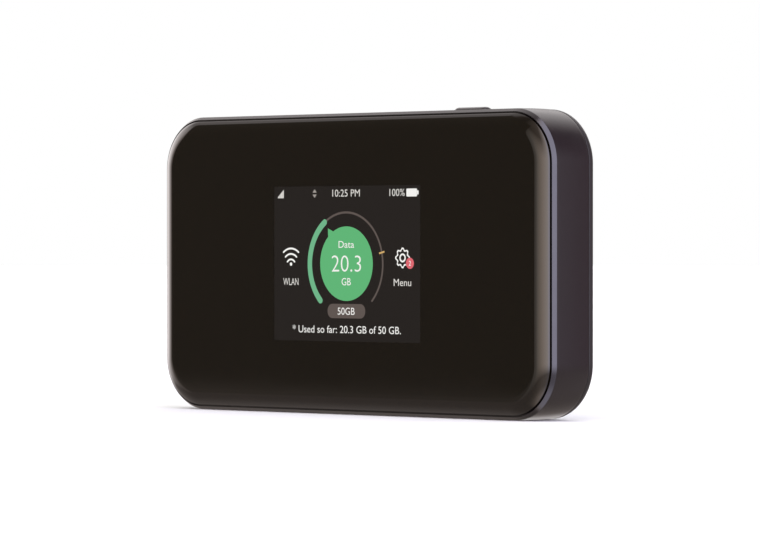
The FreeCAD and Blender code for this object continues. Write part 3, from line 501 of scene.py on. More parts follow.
# How much the edges of carried-over CAD nodes are rounded. Their faces are joined first, and flat ones merged.
SOFT_EDGES = {
    "inner_chassis": 0.18 * MM, "battery_connector": 0.12 * MM, "display_connector": 0.08 * MM,
    "power_inductors": 0.15 * MM, "usb_c_tongue": 0.10 * MM, "display_backlight": 0.12 * MM,
    "modem_shield": 0.06 * MM, "rf_shield": 0.06 * MM, "power_shield": 0.06 * MM, "wifi_shield": 0.06 * MM,
    "sim_socket": 0.06 * MM, "switch_body": 0.08 * MM, "reset_switch": 0.08 * MM, "switch_plunger": 0.08 * MM,
    "reset_plunger": 0.08 * MM, "contact_springs": 0.06 * MM, "antenna_clips": 0.06 * MM,
    "modem_chip": 0.05 * MM, "memory_chip": 0.05 * MM, "wifi_chip": 0.05 * MM, "power_chip": 0.05 * MM,
    "rf_chips": 0.05 * MM, "thermal_pad": 0.05 * MM, "chassis_screws": 0.10 * MM, "board_screws": 0.10 * MM,
    "sim_card": 0.04 * MM, "battery_terminals": 0.02 * MM, "display_backplate": 0.04 * MM,
}
CAD_WELD = 0.001 * MM
FLAT_ANGLE = math.radians(1)
BEVEL_ANGLE = math.radians(40)


def dress_cad_nodes():
    """Assign each carried-over CAD node the material of its slot, and soften the edges that can be seen."""
    slots = {row["node"]: row["material_slot"] for row in frame["record"]["subparts"]}
    for node, piece in frame["nodes"].items():
        piece.data.materials.clear()
        piece.data.materials.append(MATERIALS[slots[node]])
        if node in SOFT_EDGES:
            weld = piece.modifiers.new("joined_faces", "WELD")
            weld.merge_threshold = CAD_WELD
            flat = piece.modifiers.new("flat_faces", "DECIMATE")
            flat.decimate_type = "DISSOLVE"
            flat.angle_limit = FLAT_ANGLE
            bevel = piece.modifiers.new("soft_edges", "BEVEL")
            bevel.width = SOFT_EDGES[node]
            bevel.segments = 2
            bevel.limit_method = "ANGLE"
            bevel.angle_limit = BEVEL_ANGLE
            bevel.harden_normals = True


# --- outer pieces ---------------------------------------------------------------------------------

def lens_edge_profile(steps=22):
    """The lens's curved edge, from the flat front out to its rim."""
    end_angle = math.asin((LENS_FLAT_INSET - LENS_INSET) / LENS_EDGE_RADIUS)
    return [(LENS_FLAT_INSET - LENS_EDGE_RADIUS * math.sin(end_angle * step / steps),
             LENS_EDGE_RADIUS * (1 - math.cos(end_angle * step / steps))) for step in range(steps + 1)]


def make_lens():
    """The lens: a curved-edge black shell round a clear window."""
    window = dict(half_width=SCREEN_WIDTH / 2, half_height=SCREEN_HEIGHT / 2, corner=0.15 * MM)
    edge = lens_edge_profile()
    last_inset, last_depth = edge[-1]
    rim_turn = soften([(*edge[-2], 0), (last_inset, last_depth, LENS_RIM_SOFTNESS),
                       (last_inset, LENS_RIM_DEPTH, 0)])
    rings = [ring(0, 0, **window), ring(LENS_FLAT_INSET + LENS_FLAT_MARGIN, 0)]
    rings += [ring(inset, depth) for inset, depth in edge[:-1] + rim_turn[1:-1]]
    back = soften([(LENS_INSET, last_depth, 0), (LENS_INSET, LENS_RIM_DEPTH, EDGE_SOFTNESS),
                   (LENS_RIM_INSET, LENS_RIM_DEPTH, EDGE_SOFTNESS), (LENS_RIM_INSET, LENS_THICKNESS, 0)])
    rings += [ring(inset, depth) for inset, depth in back[1:]]
    rings.append(ring(0, LENS_THICKNESS, **window))
    shell = loft("lens_shell", rings, closed=True)
    keep_sharp_edges(shell)
    finish_piece(shell, "housing", "lens_black", "cover_lens")

    pane = loft("lens_window", [ring(-WINDOW_OVERLAP, INK, **window),
                                ring(-WINDOW_OVERLAP, WINDOW_THICKNESS, **window)],
                cap_first=True, cap_last=True)
    keep_sharp_edges(pane)
    finish_piece(pane, "housing", "lens_black", material=window_material())


def crowned_wall(steps=12):
    """The side wall's outline from the bevel to the seam: very slightly fuller half way back."""
    points = []
    for step in range(steps + 1):
        share = step / steps
        softness = {0: BEVEL_SOFTNESS, steps: EDGE_SOFTNESS}.get(step, 0)
        points.append((CROWN * (2 * share - 1) ** 2, BEVEL_END + (SEAM - BEVEL_END) * share, softness))
    return points


def make_frame():
    """The frame: bevelled front, side walls, the lens's shelf, and openings for button and receptacle."""
    profile = soften([
        (BEVEL_INSET, FRAME_FRONT, 0),
        *crowned_wall(),
        (WALL, SEAM, EDGE_SOFTNESS),
        (WALL, SHELF_BACK, 0),
    ])
    profile += [(SHELF_INSET, SHELF_BACK), (SHELF_INSET, SHELF_FRONT), (RECESS_INSET, SHELF_FRONT),
                (RECESS_INSET, FRAME_FRONT + FRAME_LIP)]
    frame_piece = loft("frame_shell", [ring(inset, depth) for inset, depth in profile], closed=True)
    subtract(frame_piece, slot_prism("button_cutter", BUTTON_LENGTH + 2 * BUTTON_CLEARANCE,
                                     BUTTON_WIDTH + 2 * BUTTON_CLEARANCE, HEIGHT - 2 * WALL,
                                     HEIGHT + CUT_OVERRUN, BUTTON_X, flare=BUTTON_HOLE_FLARE))
    usb_low, usb_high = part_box("usb_c_shell")
    subtract(frame_piece, slot_prism("port_cutter", usb_high.x - usb_low.x + PORT_GAP,
                                     usb_high.y - usb_low.y + PORT_GAP, -CUT_OVERRUN, 2 * WALL, 0.0))
    # A fingernail notch in the seam, at the left end.
    notch = dict(half_width=NOTCH_HALF_SIZE, half_height=NOTCH_HALF_SIZE, corner=NOTCH_CORNER,
                 centre=(-WIDTH / 2 - NOTCH_HALF_SIZE + NOTCH_DEPTH, MIDDLE))
    subtract(frame_piece, loft("notch_cutter", [ring(0, SEAM - NOTCH_HALF_WIDTH, **notch),
                                                ring(0, SEAM + NOTCH_HALF_WIDTH, **notch)],
                               cap_first=True, cap_last=True))
    keep_sharp_edges(frame_piece)
    finish_piece(frame_piece, "housing", "frame_plastic", "mid_frame")


def make_cover():
    """The rear cover: a rounded tray with a lip that enters the frame."""
    arc = []
    for step in range(COVER_ARC_STEPS + 1):
        angle = math.radians(90 * step / COVER_ARC_STEPS)
        arc.append((CROWN + (COVER_EDGE - CROWN) * (1 - math.cos(angle)),
                    COVER_BACK - COVER_EDGE * (1 - math.sin(angle))))
    inner = LIP_INSET + LIP_THICKNESS
    inside = soften([(inner + 6 * MM, COVER_BACK - COVER_SKIN, 0), (inner, COVER_BACK - COVER_SKIN, 0.3 * MM),
                     (inner, LIP_FRONT, 0.15 * MM), (LIP_INSET, LIP_FRONT, 0.2 * MM),
                     (LIP_INSET, COVER_FRONT, 0), (CROWN, COVER_FRONT, EDGE_SOFTNESS),
                     (CROWN, COVER_BACK - COVER_EDGE, 0)])
    outer = arc + [(COVER_EDGE + 1 * MM, COVER_BACK)]
    rings = [ring(inset, depth) for inset, depth in inside[:-1] + outer]
    cover = loft("rear_cover", rings, cap_first=True, cap_last=True)
    keep_sharp_edges(cover)
    finish_piece(cover, "cover", "cover_plastic", "battery_cover")


def make_button():
    """The power button: a slot-shaped cap with a domed top, and its flange inside the wall."""
    top = button_high.z
    flange_top = HEIGHT - WALL - FLANGE_GAP
    flange_bottom = flange_top - FLANGE_THICKNESS
    levels = [(*STEM, button_low.z), (*STEM, flange_bottom), (*FLANGE, flange_bottom), (*FLANGE, flange_top),
              (BUTTON_LENGTH, BUTTON_WIDTH, flange_top),
              (BUTTON_LENGTH, BUTTON_WIDTH, top - DOME_HEIGHT - CAP_STRAIGHT_END)]
    for step in range(DOME_STEPS + 1):
        angle = DOME_START + (math.pi / 2 - DOME_START) * step / DOME_STEPS
        inward = DOME_REACH * (1 - math.cos(angle) / math.cos(DOME_START))
        drop = DOME_HEIGHT * (1 - math.sin(angle)) / (1 - math.sin(DOME_START))
        levels.append((BUTTON_LENGTH - 2 * inward, BUTTON_WIDTH - 2 * inward, top - drop))
    # The top is very slightly dished for the fingertip.
    levels.append((BUTTON_LENGTH - 2 * DISH_INSET, BUTTON_WIDTH - 2 * DISH_INSET, top - DISH_DEPTH))
    rings = [slot_ring(length, width, z, BUTTON_X, BUTTON_END_STEPS) for length, width, z in levels]
    cap = loft("button_cap", rings, cap_first=True, cap_last=True)
    keep_sharp_edges(cap)
    finish_piece(cap, "button", "button_plastic", "power_button")


def make_battery():
    """The battery: a moulded case round a foil label on each face, with its polarity marked."""
    low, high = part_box("battery_pack")
    front, back = low.y - FRONT, high.y - FRONT
    outline = dict(half_width=(high.x - low.x) / 2, half_height=(high.z - low.z) / 2, corner=BATTERY_CORNER,
                   centre=((low.x + high.x) / 2, (low.z + high.z) / 2))
    sides = soften([(BATTERY_RIM, front + LABEL_RECESS, 0), (BATTERY_RIM, front, RIM_SOFTNESS),
                    (0, front, BATTERY_EDGE), (0, back, BATTERY_EDGE),
                    (BATTERY_RIM, back, RIM_SOFTNESS), (BATTERY_RIM, back - LABEL_RECESS, 0)], steps=6)
    case = loft("battery_case", [ring(inset, depth, **outline) for inset, depth in sides],
                cap_first=True, cap_last=True)
    keep_sharp_edges(case)
    finish_piece(case, "battery", "battery_wrap", "battery_pack")

    foil = textured("battery_foil", (0.42, 0.43, 0.45, 1), 0.36, grain=0.4 * MM, relief=0.004 * MM, spread=0.05,
                    metallic=0.85, stretch=(1, 1, 10))
    label_inset = BATTERY_RIM + LABEL_MARGIN
    label_back, label_front = back - LABEL_RECESS, front + LABEL_RECESS
    for name, near, far in (("battery_label_back", label_back, label_back + LABEL_THICKNESS),
                            ("battery_label_front", label_front - LABEL_THICKNESS, label_front)):
        label = loft(name, [ring(label_inset, near, **outline), ring(label_inset, far, **outline)],
                     cap_first=True, cap_last=True)
        keep_sharp_edges(label)
        finish_piece(label, "battery", "battery_wrap", material=foil)

    # Polarity marks beside the outer contacts, printed on the back label.
    ink = textured("battery_ink", (0.02, 0.02, 0.022, 1), 0.5)
    contacts_low, contacts_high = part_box("battery_terminals")
    arm, stroke, mark_x = 1.3 * MM, 0.28 * MM, high.x - BATTERY_RIM - 2.4 * MM
    ink_middle = FRONT + label_back + LABEL_THICKNESS + INK / 2
    marks = bmesh.new()
    bars = ((mark_x, contacts_high.z, arm, stroke), (mark_x, contacts_high.z, stroke, arm),
            (mark_x, contacts_low.z, arm, stroke))
    for x, z, half_x, half_z in bars:
        made = bmesh.ops.create_cube(marks, size=1)
        for vertex in made["verts"]:
            vertex.co = Vector((x + vertex.co.x * 2 * half_x, ink_middle + vertex.co.y * INK,
                                z + vertex.co.z * 2 * half_z))
    finish_piece(finish_mesh("battery_marks", marks, smooth=False), "battery", "battery_wrap", material=ink)


# --- the picture on the display -------------------------------------------------------------------

LETTER_WELD = 1e-9
STRAIGHT_EDGE = 0.001
CURVE_DETAIL = 5
END_STEPS = 8


def text_mesh(words, weight=0.0):
    """Words as a flat mesh in Blender's built-in font."""
    curve = bpy.data.curves.new("words", "FONT")
    curve.body = words
    curve.offset = weight
    curve.resolution_u = CURVE_DETAIL
    holder = bpy.data.objects.new("words", curve)
    bpy.context.scene.collection.objects.link(holder)
    bpy.context.view_layer.update()
    flat = bpy.data.meshes.new_from_object(holder.evaluated_get(bpy.context.evaluated_depsgraph_get()))
    bpy.data.objects.remove(holder)
    return flat


def join_loops(mesh, first, second):
    """Faces between two closed rows of corners that run the same way."""
    count = len(first)
    for index in range(count):
        after = (index + 1) % count
        mesh.faces.new((first[index], first[after], second[after], second[index]))


class Picture:
    """Collects flat shapes by colour, and makes one thin piece for each."""

    def __init__(self):
        self.meshes = {}

    def mesh(self, colour):
        """The mesh that holds a colour's shapes."""
        return self.meshes.setdefault(colour, bmesh.new())

    def fill(self, colour, layer, outer, inner=None):
        """A flat shape from outline points in millimetres from the display's centre, with an optional hole."""
        mesh = self.mesh(colour)
        back = FRONT + PICTURE_DEPTH - layer * LAYER
        loops = []
        for outline in (outer, inner) if inner else (outer,):
            loops.append([[mesh.verts.new((x * MM, y, MIDDLE + z * MM)) for x, z in outline]
                          for y in (back, back - INK)])
        if inner:
            (outer_back, outer_front), (inner_back, inner_front) = loops
            join_loops(mesh, outer_front, inner_front)
            join_loops(mesh, inner_back, outer_back)
        else:
            mesh.faces.new(loops[0][1])
            mesh.faces.new(reversed(loops[0][0]))
        for near, far in loops:
            join_loops(mesh, near, far)

    def band(self, colour, layer, centre, radius, width, start, end, steps=64):
        """A stroke along an arc, with round ends. Angles are in degrees, anticlockwise from the right."""
        first, last = math.radians(start), math.radians(end)
        sweep = [first + (last - first) * step / steps for step in range(steps + 1)]
        turn = 1 if last > first else -1

        def point(reach, angle, middle=centre):
            return (middle[0] + reach * math.cos(angle), middle[1] + reach * math.sin(angle))

        def round_end(end_angle, flip):
            middle = point(radius, end_angle)
            return [point(width / 2, end_angle + turn * (math.pi * step / END_STEPS + flip), middle)
                    for step in range(1, END_STEPS)]

        self.fill(colour, layer, [
            *(point(radius + width / 2, angle) for angle in sweep),
            *round_end(last, 0),
            *(point(radius - width / 2, angle) for angle in reversed(sweep)),
            *round_end(first, math.pi),
        ])

    def write(self, colour, layer, words, left, right, baseline, cap_height, weight=0.0):
        """Words fitted between two places, in millimetres from the display's centre."""
        flat = text_mesh(words, weight)
        capital_height = max(vertex.co.y for vertex in text_mesh("H").vertices)
        low = min(vertex.co.x for vertex in flat.vertices)
        high = max(vertex.co.x for vertex in flat.vertices)
        stretch, rise = (right - left) / (high - low), cap_height / capital_height
        y = FRONT + PICTURE_DEPTH - layer * LAYER
        letters = bmesh.new()
        letters.from_mesh(flat)
        for vertex in letters.verts:
            vertex.co = Vector(((left + (vertex.co.x - low) * stretch) * MM, y,
                                MIDDLE + (baseline + vertex.co.y * rise) * MM))
        bmesh.ops.remove_doubles(letters, verts=letters.verts, dist=LETTER_WELD)
        bmesh.ops.dissolve_limit(letters, angle_limit=STRAIGHT_EDGE, verts=letters.verts, edges=letters.edges)
        grown = bmesh.ops.extrude_face_region(letters, geom=letters.faces[:])
        for item in grown["geom"]:
            if isinstance(item, bmesh.types.BMVert):
                item.co.y -= INK
        bmesh.ops.recalc_face_normals(letters, faces=letters.faces)
        done = bpy.data.meshes.new("letters")
        letters.to_mesh(done)
        letters.free()
        self.mesh(colour).from_mesh(done)

    def make(self, colours):
        """One piece for each colour, on the housing."""
        for colour, mesh in self.meshes.items():
            mesh.normal_update()
            bmesh.ops.recalc_face_normals(mesh, faces=mesh.faces)
            bmesh.ops.triangulate(mesh, faces=mesh.faces[:], ngon_method="EAR_CLIP")
            bmesh.ops.dissolve_degenerate(mesh, edges=mesh.edges, dist=WELD_DISTANCE)
            piece = finish_mesh(f"picture_{colour}", mesh, smooth=False)
            finish_piece(piece, "housing", "display_glass",
                         material=lit_material(f"lit_{colour}", colours[colour]))


def arc_points(x, z, radius, start, end, steps):
    """Points along an arc, in millimetres and degrees."""
    angles = [math.radians(start + (end - start) * step / steps) for step in range(steps + 1)]
    return [(x + radius * math.cos(angle), z + radius * math.sin(angle)) for angle in angles]


def round_box(left, right, bottom, top, radius, steps=6):
    """A round-cornered box's outline."""
    outline = []
    for x, z, start in ((right - radius, top - radius, 0), (left + radius, top - radius, 90),
                        (left + radius, bottom + radius, 180), (right - radius, bottom + radius, 270)):
        outline += arc_points(x, z, radius, start, start + 90, steps)
    return outline


def gear_points(x, z, radius, wave, teeth=8, steps=96, squareness=2.2):
    """A soft-toothed wheel's outline."""
    outline = []
    for step in range(steps):
        angle = 2 * math.pi * step / steps
        reach = radius + wave * math.tanh(squareness * math.cos(teeth * angle)) / math.tanh(squareness)
        outline.append((x + reach * math.cos(angle), z + reach * math.sin(angle)))
    return outline


PICTURE_COLOURS = {
    "background": srgb(31, 27, 26),
    "white": srgb(250, 249, 246),
    "soft_white": srgb(228, 225, 220),
    "grey": srgb(96, 86, 82),
    "light_grey": srgb(165, 158, 152),
    "green": srgb(97, 186, 122),
    "pale_green": srgb(113, 186, 141),
    "amber": srgb(216, 176, 110),
    "red": srgb(228, 105, 115),
}


# The home screen's layout, in millimetres from the display's centre.
SMALL_TEXT = 1.65
STATUS_LINE = 15.85
SHORTCUT_LINE = -5.15
GAUGE_CENTRE = (-0.1, -0.1)
GAUGE_RADIUS = 12.2
GAUGE_START, GAUGE_END, GAUGE_NOW = 225, -45, 126
DISC_RADIUS = 8.8
WAVES_CENTRE = (-18.75, -0.6)
GEAR_CENTRE = (18.6, 1.4)


def draw_status_row(art):
    """Signal bars, an up and a down arrow, the clock and the battery."""
    low, width, rise = 15.6, 0.45, 0.45
    for bar in range(4):
        left = -23.25 + bar * 0.52
        art.fill("soft_white", 1, [(left + width, low), (left + width, STATUS_LINE + rise * (bar + 1)),
                                   (left, STATUS_LINE + rise * bar), (left, low)])
    art.fill("light_grey", 1, [(-10.0, 16.85), (-10.7, 17.65), (-11.4, 16.85)])
    art.fill("light_grey", 1, [(-11.4, 16.4), (-10.7, 15.6), (-10.0, 16.4)])
    art.write("soft_white", 1, "10:25 PM", -4.7, 4.5, STATUS_LINE, SMALL_TEXT)
    art.write("soft_white", 1, "100%", 14.3, 19.3, STATUS_LINE, SMALL_TEXT)
    art.fill("white", 1, round_box(19.85, 23.3, 15.7, 17.55, 0.25))
    art.fill("white", 1, round_box(23.35, 23.8, 16.15, 17.1, 0.12))


def draw_gauge(art):
    """The usage gauge: a track, the part used, a tick, and a disc with the figure."""
    art.band("grey", 1, GAUGE_CENTRE, GAUGE_RADIUS, 0.5, GAUGE_START, GAUGE_END)
    art.band("pale_green", 2, GAUGE_CENTRE, GAUGE_RADIUS, 1.5, GAUGE_START, GAUGE_NOW)
    tick = math.radians(13)
    along, across = Vector((math.cos(tick), math.sin(tick))), Vector((-math.sin(tick), math.cos(tick)))
    middle = Vector(GAUGE_CENTRE) + along * GAUGE_RADIUS
    art.fill("amber", 3, [tuple(middle + along * (0.9 * a) + across * (0.2 * b))
                          for a, b in ((1, 1), (-1, 1), (-1, -1), (1, -1))])
    # The disc has a corner at its upper left, like a speech bubble's.
    art.fill("green", 1, arc_points(0, 0, DISC_RADIUS, 134, 480, 120) + [(-6.2, 8.35)])
    art.write("white", 2, "Data", -2.6, 2.6, 3.75, 1.6)
    art.write("white", 2, "20.3", -4.9, 4.9, -1.9, 3.85, weight=-0.012)
    art.write("white", 2, "GB", -1.55, 1.5, -5.1, 1.7)
    art.fill("grey", 1, round_box(-6.3, 6.3, -12.9, -9.5, 1.6))
    art.write("white", 2, "50GB", -2.9, 2.8, -12.05, SMALL_TEXT)


def draw_shortcuts(art):
    """Radio waves on the left, and a gear with a numbered badge on the right."""
    for radius, half_angle in ((1.58, 50), (2.88, 41), (4.18, 38)):
        art.band("white", 1, WAVES_CENTRE, radius, 0.43, 90 + half_angle, 90 - half_angle, steps=20)
    art.fill("white", 1, arc_points(-18.75, -0.15, 0.42, 0, 345, 23))
    art.write("soft_white", 1, "WLAN", -21.4, -16.2, SHORTCUT_LINE, SMALL_TEXT)
    art.fill("white", 1, gear_points(*GEAR_CENTRE, 2.2, 0.22), gear_points(*GEAR_CENTRE, 1.78, 0.22))
    art.fill("white", 1, gear_points(*GEAR_CENTRE, 1.05, 0.0), gear_points(*GEAR_CENTRE, 0.62, 0.0))
    art.fill("red", 2, arc_points(21.0, 0.15, 1.3, 0, 352, 44))
    art.write("white", 3, "2", 20.65, 21.35, -0.4, 1.1)
    art.write("soft_white", 1, "Menu", 15.7, 21.4, SHORTCUT_LINE, SMALL_TEXT)


def make_picture():
    """The home screen: status row, usage gauge, two shortcuts and a line with the total."""
    art = Picture()
    half_w, half_h = SCREEN_WIDTH / 2 / MM, SCREEN_HEIGHT / 2 / MM
    art.fill("background", 0, [(half_w, half_h), (-half_w, half_h), (-half_w, -half_h), (half_w, -half_h)])
    draw_status_row(art)
    draw_gauge(art)
    draw_shortcuts(art)
    art.write("white", 1, "* Used so far: 20.3 GB of 50 GB.", -18.2, 18.0, -16.4, 1.7)
    art.make(PICTURE_COLOURS)


# --- stage ----------------------------------------------------------------------------------------

CAMERA_AZIMUTH = math.radians(44.77)
CAMERA_DISTANCE = 1066.5 * MM
CAMERA_ASIDE = 8.05 * MM
CAMERA_RISE = 4.13 * MM
CAMERA_TILT = math.radians(0.283)
FOCAL_LENGTH = 214.1


def make_camera():
    """A long lens to the right of the device, a little above its middle and tilted slightly down."""
    ahead = Vector((-math.sin(CAMERA_AZIMUTH), math.cos(CAMERA_AZIMUTH), 0))
    aside = Vector((math.cos(CAMERA_AZIMUTH), math.sin(CAMERA_AZIMUTH), 0))
    focus = Vector((0, FRONT, MIDDLE))
    data = bpy.data.cameras.new("camera")
    data.sensor_width = 36
    data.lens = FOCAL_LENGTH
    data.clip_start, data.clip_end = 0.05, 50
    camera = bpy.data.objects.new("camera", data)
    bpy.context.scene.collection.objects.link(camera)
    camera.location = focus - ahead * CAMERA_DISTANCE + aside * CAMERA_ASIDE + Vector((0, 0, CAMERA_RISE))
    look = ahead + Vector((0, 0, -math.tan(CAMERA_TILT)))
    camera.rotation_mode = "QUATERNION"
    camera.rotation_quaternion = look.to_track_quat("-Z", "Y")
    bpy.context.scene.camera = camera


# The floor lies a hair below the device, so the two never share a plane.
FLOOR_GAP = 0.05 * MM
FLOOR_HALF_SIZE = 6


def make_floor():
    """A plain pale floor."""
    mesh = bmesh.new()
    bmesh.ops.create_grid(mesh, x_segments=8, y_segments=8, size=FLOOR_HALF_SIZE)
    bmesh.ops.translate(mesh, verts=mesh.verts, vec=(0, 0, -FLOOR_GAP))
    floor = finish_mesh("floor", mesh, smooth=False)
    material, tree, shader = new_material("floor_white", (0.86, 0.86, 0.86, 1), 0.9)
    tone = remap(tree, place_noise(tree, 0.4, detail=2), 0.0, 1.0)
    tree.links.new(blend_colours(tree, tone, (0.85, 0.85, 0.85, 1), (0.87, 0.87, 0.87, 1)),
                   shader.inputs["Base Color"])
    shader.inputs["Specular IOR Level"].default_value = 0.0
    floor.data.materials.append(material)
    floor.visible_glossy = False
    floor.visible_transmission = False


# The studio's light by compass heading, in degrees: 0 is straight ahead of the lens and 90 the device's right.
STUDIO_LIGHT = (
    (-180, (0.50, 0.46, 0.46)),
    (-162, (0.70, 0.66, 0.66)),
    (-132, (0.62, 0.59, 0.59)),
    (-112, (2.2, 2.05, 2.02)),
    (-97, (3.7, 3.4, 3.35)),
    (-76, (4.4, 4.0, 3.9)),
    (-66, (3.4, 3.0, 2.9)),
    (-57, (1.4, 1.2, 1.1)),
    (-50, (1.2, 1.0, 0.90)),
    (-36, (0.72, 0.66, 0.60)),
    (-28, (0.95, 0.85, 0.75)),
    (-17, (1.85, 1.6, 1.4)),
    (-5, (2.6, 2.15, 1.8)),
    (18, (3.85, 3.15, 2.75)),
    (40, (4.7, 4.1, 3.8)),
    (56, (5.1, 4.9, 5.9)),
    (80, (5.3, 5.2, 6.9)),
    (100, (3.0, 2.8, 3.6)),
    (122, (1.20, 1.05, 1.25)),
    (131, (0.90, 0.80, 0.88)),
    (141, (0.50, 0.36, 0.40)),
    (156, (0.52, 0.43, 0.45)),
    (180, (0.50, 0.46, 0.46)),
)
PLAIN_LIGHT = 1.2

# A dark flag hangs where the camera sees the lens mirror the wall. Spans and headings are in degrees.
FLAG_HEADING = -44.8
FLAG_SIDE = (4.0, 6.0)
FLAG_SPREAD = 0.6
FLAG_TOP = (46.0, 50.0)
FLAG_BOTTOM = (-15.0, -3.0)
FLAG_LIGHT = (0.185, 0.165, 0.14)
HEM_SPAN = (-1.88, -1.78)
HEM_SLOPE = 0.042
HEM_SHARE = 0.25

# The wall's light fades with height. It fades less on the far side, and least at the bank on the right.
CEILING_FADE = (8.0, 36.0)
CEILING_SHARE = (0.22, 0.62)
FAR_SIDE = (92.0, 108.0)
BANK_CEILING = 0.9
BANK_SPAN = ((10.0, 45.0), (95.0, 120.0))

# Behind the device, the wall is lifted away from the horizon.
BEHIND_SPAN = ((-138.0, -116.0), (160.0, 180.0))
BACK_LIFT = 1.5
BACK_LIFT_SPAN = (12.0, 27.0)

# Glossy surfaces see a warm floor. It is paler at the right rear, and the bank shows faintly in it.
FLOOR_LIGHT = (0.45, 0.38, 0.35)
FLOOR_COVER = 0.97
FLOOR_FADE = (-15.0, -1.0)
FLOOR_DROP_BEHIND = 18.0
REAR_FLOOR_LIGHT = (0.65, 0.55, 0.53)
REAR_FLOOR_SPAN = ((118.0, 135.0), (150.0, 176.0))
BANK_FLOOR = 0.15
BANK_FLOOR_STEEP = 0.42
BANK_FLOOR_FADE = (-50.0, -32.0)
LOW_BANK_SPAN = ((-22.0, 18.0), (95.0, 120.0))


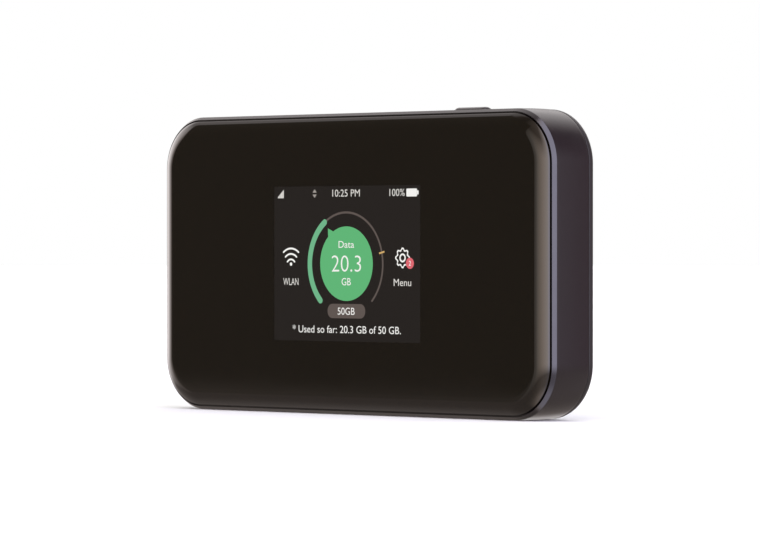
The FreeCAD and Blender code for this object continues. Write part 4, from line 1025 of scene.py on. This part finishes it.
def make_studio():
    """Soft studio light: pale walls, a broad bank on the right, and a dark flag mirrored in the lens."""
    world = bpy.data.worlds.new("studio")
    bpy.context.scene.world = world
    world.use_nodes = True
    tree = world.node_tree
    tree.nodes.clear()
    place = tree.nodes.new("ShaderNodeTexCoord")
    split = tree.nodes.new("ShaderNodeSeparateXYZ")
    tree.links.new(place.outputs["Generated"], split.inputs["Vector"])
    ahead = combine(tree, "MULTIPLY", split.outputs["Y"], -1.0)
    heading = combine(tree, "DEGREES", combine(tree, "ARCTAN2", split.outputs["X"], ahead))
    rise = combine(tree, "DEGREES", combine(tree, "ARCSINE", split.outputs["Z"]))

    ramp = tree.nodes.new("ShaderNodeValToRGB")
    ramp.color_ramp.interpolation = "LINEAR"
    brightest = max(max(colour) for _, colour in STUDIO_LIGHT)

    def dimmed(colour):
        return tuple(level / brightest for level in colour) + (1.0,)

    elements = ramp.color_ramp.elements
    for index, (degrees, colour) in enumerate(STUDIO_LIGHT):
        where = (degrees + 180) / 360
        element = elements[index] if index < 2 else elements.new(where)
        element.position = where
        element.color = dimmed(colour)
    tree.links.new(remap(tree, heading, 0.0, 1.0, -180.0, 180.0), ramp.inputs["Fac"])

    def between(rising, falling):
        return combine(tree, "MULTIPLY", remap(tree, heading, 0.0, 1.0, *rising),
                       remap(tree, heading, 1.0, 0.0, *falling))

    behind = combine(tree, "MAXIMUM", remap(tree, heading, 1.0, 0.0, *BEHIND_SPAN[0]),
                     remap(tree, heading, 0.0, 1.0, *BEHIND_SPAN[1]))

    # The wall's strength.
    off_front = combine(tree, "ABSOLUTE", heading)
    share = combine(tree, "MAXIMUM", remap(tree, off_front, *CEILING_SHARE, *FAR_SIDE),
                    combine(tree, "MULTIPLY", between(*BANK_SPAN), BANK_CEILING))
    height = remap(tree, rise, 0.0, 1.0, *CEILING_FADE)
    dimming = combine(tree, "SUBTRACT", 1.0,
                      combine(tree, "MULTIPLY", height, combine(tree, "SUBTRACT", 1.0, share)))
    off_horizon = remap(tree, combine(tree, "ABSOLUTE", rise), 0.0, BACK_LIFT, *BACK_LIFT_SPAN)
    walls = tree.nodes.new("ShaderNodeVectorMath")
    walls.operation = "SCALE"
    tree.links.new(ramp.outputs["Color"], walls.inputs["Vector"])
    tree.links.new(combine(tree, "ADD", dimming, combine(tree, "MULTIPLY", behind, off_horizon)),
                   walls.inputs["Scale"])

    # The floor lies over the wall.
    floor_edge = combine(tree, "ADD", rise, combine(tree, "MULTIPLY", behind, FLOOR_DROP_BEHIND))
    bank_in_floor = combine(tree, "MULTIPLY", between(*LOW_BANK_SPAN),
                            remap(tree, rise, BANK_FLOOR_STEEP, BANK_FLOOR, *BANK_FLOOR_FADE))
    floor_share = combine(tree, "MULTIPLY", remap(tree, floor_edge, 1.0, 0.0, *FLOOR_FADE),
                          combine(tree, "SUBTRACT", FLOOR_COVER, bank_in_floor))
    room = blend_colours(tree, floor_share, walls.outputs[0], dimmed(FLOOR_LIGHT))
    room = blend_colours(tree, combine(tree, "MULTIPLY", floor_share, between(*REAR_FLOOR_SPAN)),
                         room, dimmed(REAR_FLOOR_LIGHT))

    # The flag hangs in front of both. It widens upwards, and stops a little below the horizon. Its lower hem
    # is thinner and hangs slightly askew.
    off_side = combine(tree, "ABSOLUTE", combine(tree, "SUBTRACT", heading, FLAG_HEADING))
    spread = combine(tree, "MULTIPLY", combine(tree, "MAXIMUM", rise, 0.0), FLAG_SPREAD)
    beside = remap(tree, combine(tree, "SUBTRACT", off_side, spread), 0.0, 1.0, *FLAG_SIDE)
    above = remap(tree, rise, 0.0, 1.0, *FLAG_TOP)
    askew = combine(tree, "MULTIPLY", combine(tree, "SUBTRACT", heading, FLAG_HEADING), HEM_SLOPE)
    hem = remap(tree, combine(tree, "ADD", rise, askew), HEM_SHARE, 0.0, *HEM_SPAN)
    below = combine(tree, "MAXIMUM", hem, remap(tree, rise, 1.0, 0.0, *FLAG_BOTTOM))
    clear = combine(tree, "MAXIMUM", combine(tree, "MAXIMUM", beside, above), below)
    seen = blend_colours(tree, combine(tree, "SUBTRACT", 1.0, clear), room, dimmed(FLAG_LIGHT))
    studio = add_node(tree, "ShaderNodeBackground", Strength=brightest)
    tree.links.new(seen, studio.inputs["Color"])

    # The camera sees a white backdrop, and matt surfaces are lit evenly by plain white walls.
    backdrop = add_node(tree, "ShaderNodeBackground", Color=(1, 1, 1, 1), Strength=1.0)
    plain = add_node(tree, "ShaderNodeBackground", Color=(1, 1, 1, 1), Strength=PLAIN_LIGHT)
    rays = tree.nodes.new("ShaderNodeLightPath")
    light = studio.outputs[0]
    for kind, other in (("Is Diffuse Ray", plain), ("Is Camera Ray", backdrop)):
        mix = tree.nodes.new("ShaderNodeMixShader")
        tree.links.new(rays.outputs[kind], mix.inputs["Fac"])
        tree.links.new(light, mix.inputs[1])
        tree.links.new(other.outputs[0], mix.inputs[2])
        light = mix.outputs[0]
    out = tree.nodes.new("ShaderNodeOutputWorld")
    tree.links.new(light, out.inputs["Surface"])


bpy.context.scene.view_settings.view_transform = "Standard"
make_camera()
make_studio()
make_floor()
dress_cad_nodes()
make_lens()
make_frame()
make_cover()
make_button()
make_battery()
make_picture()
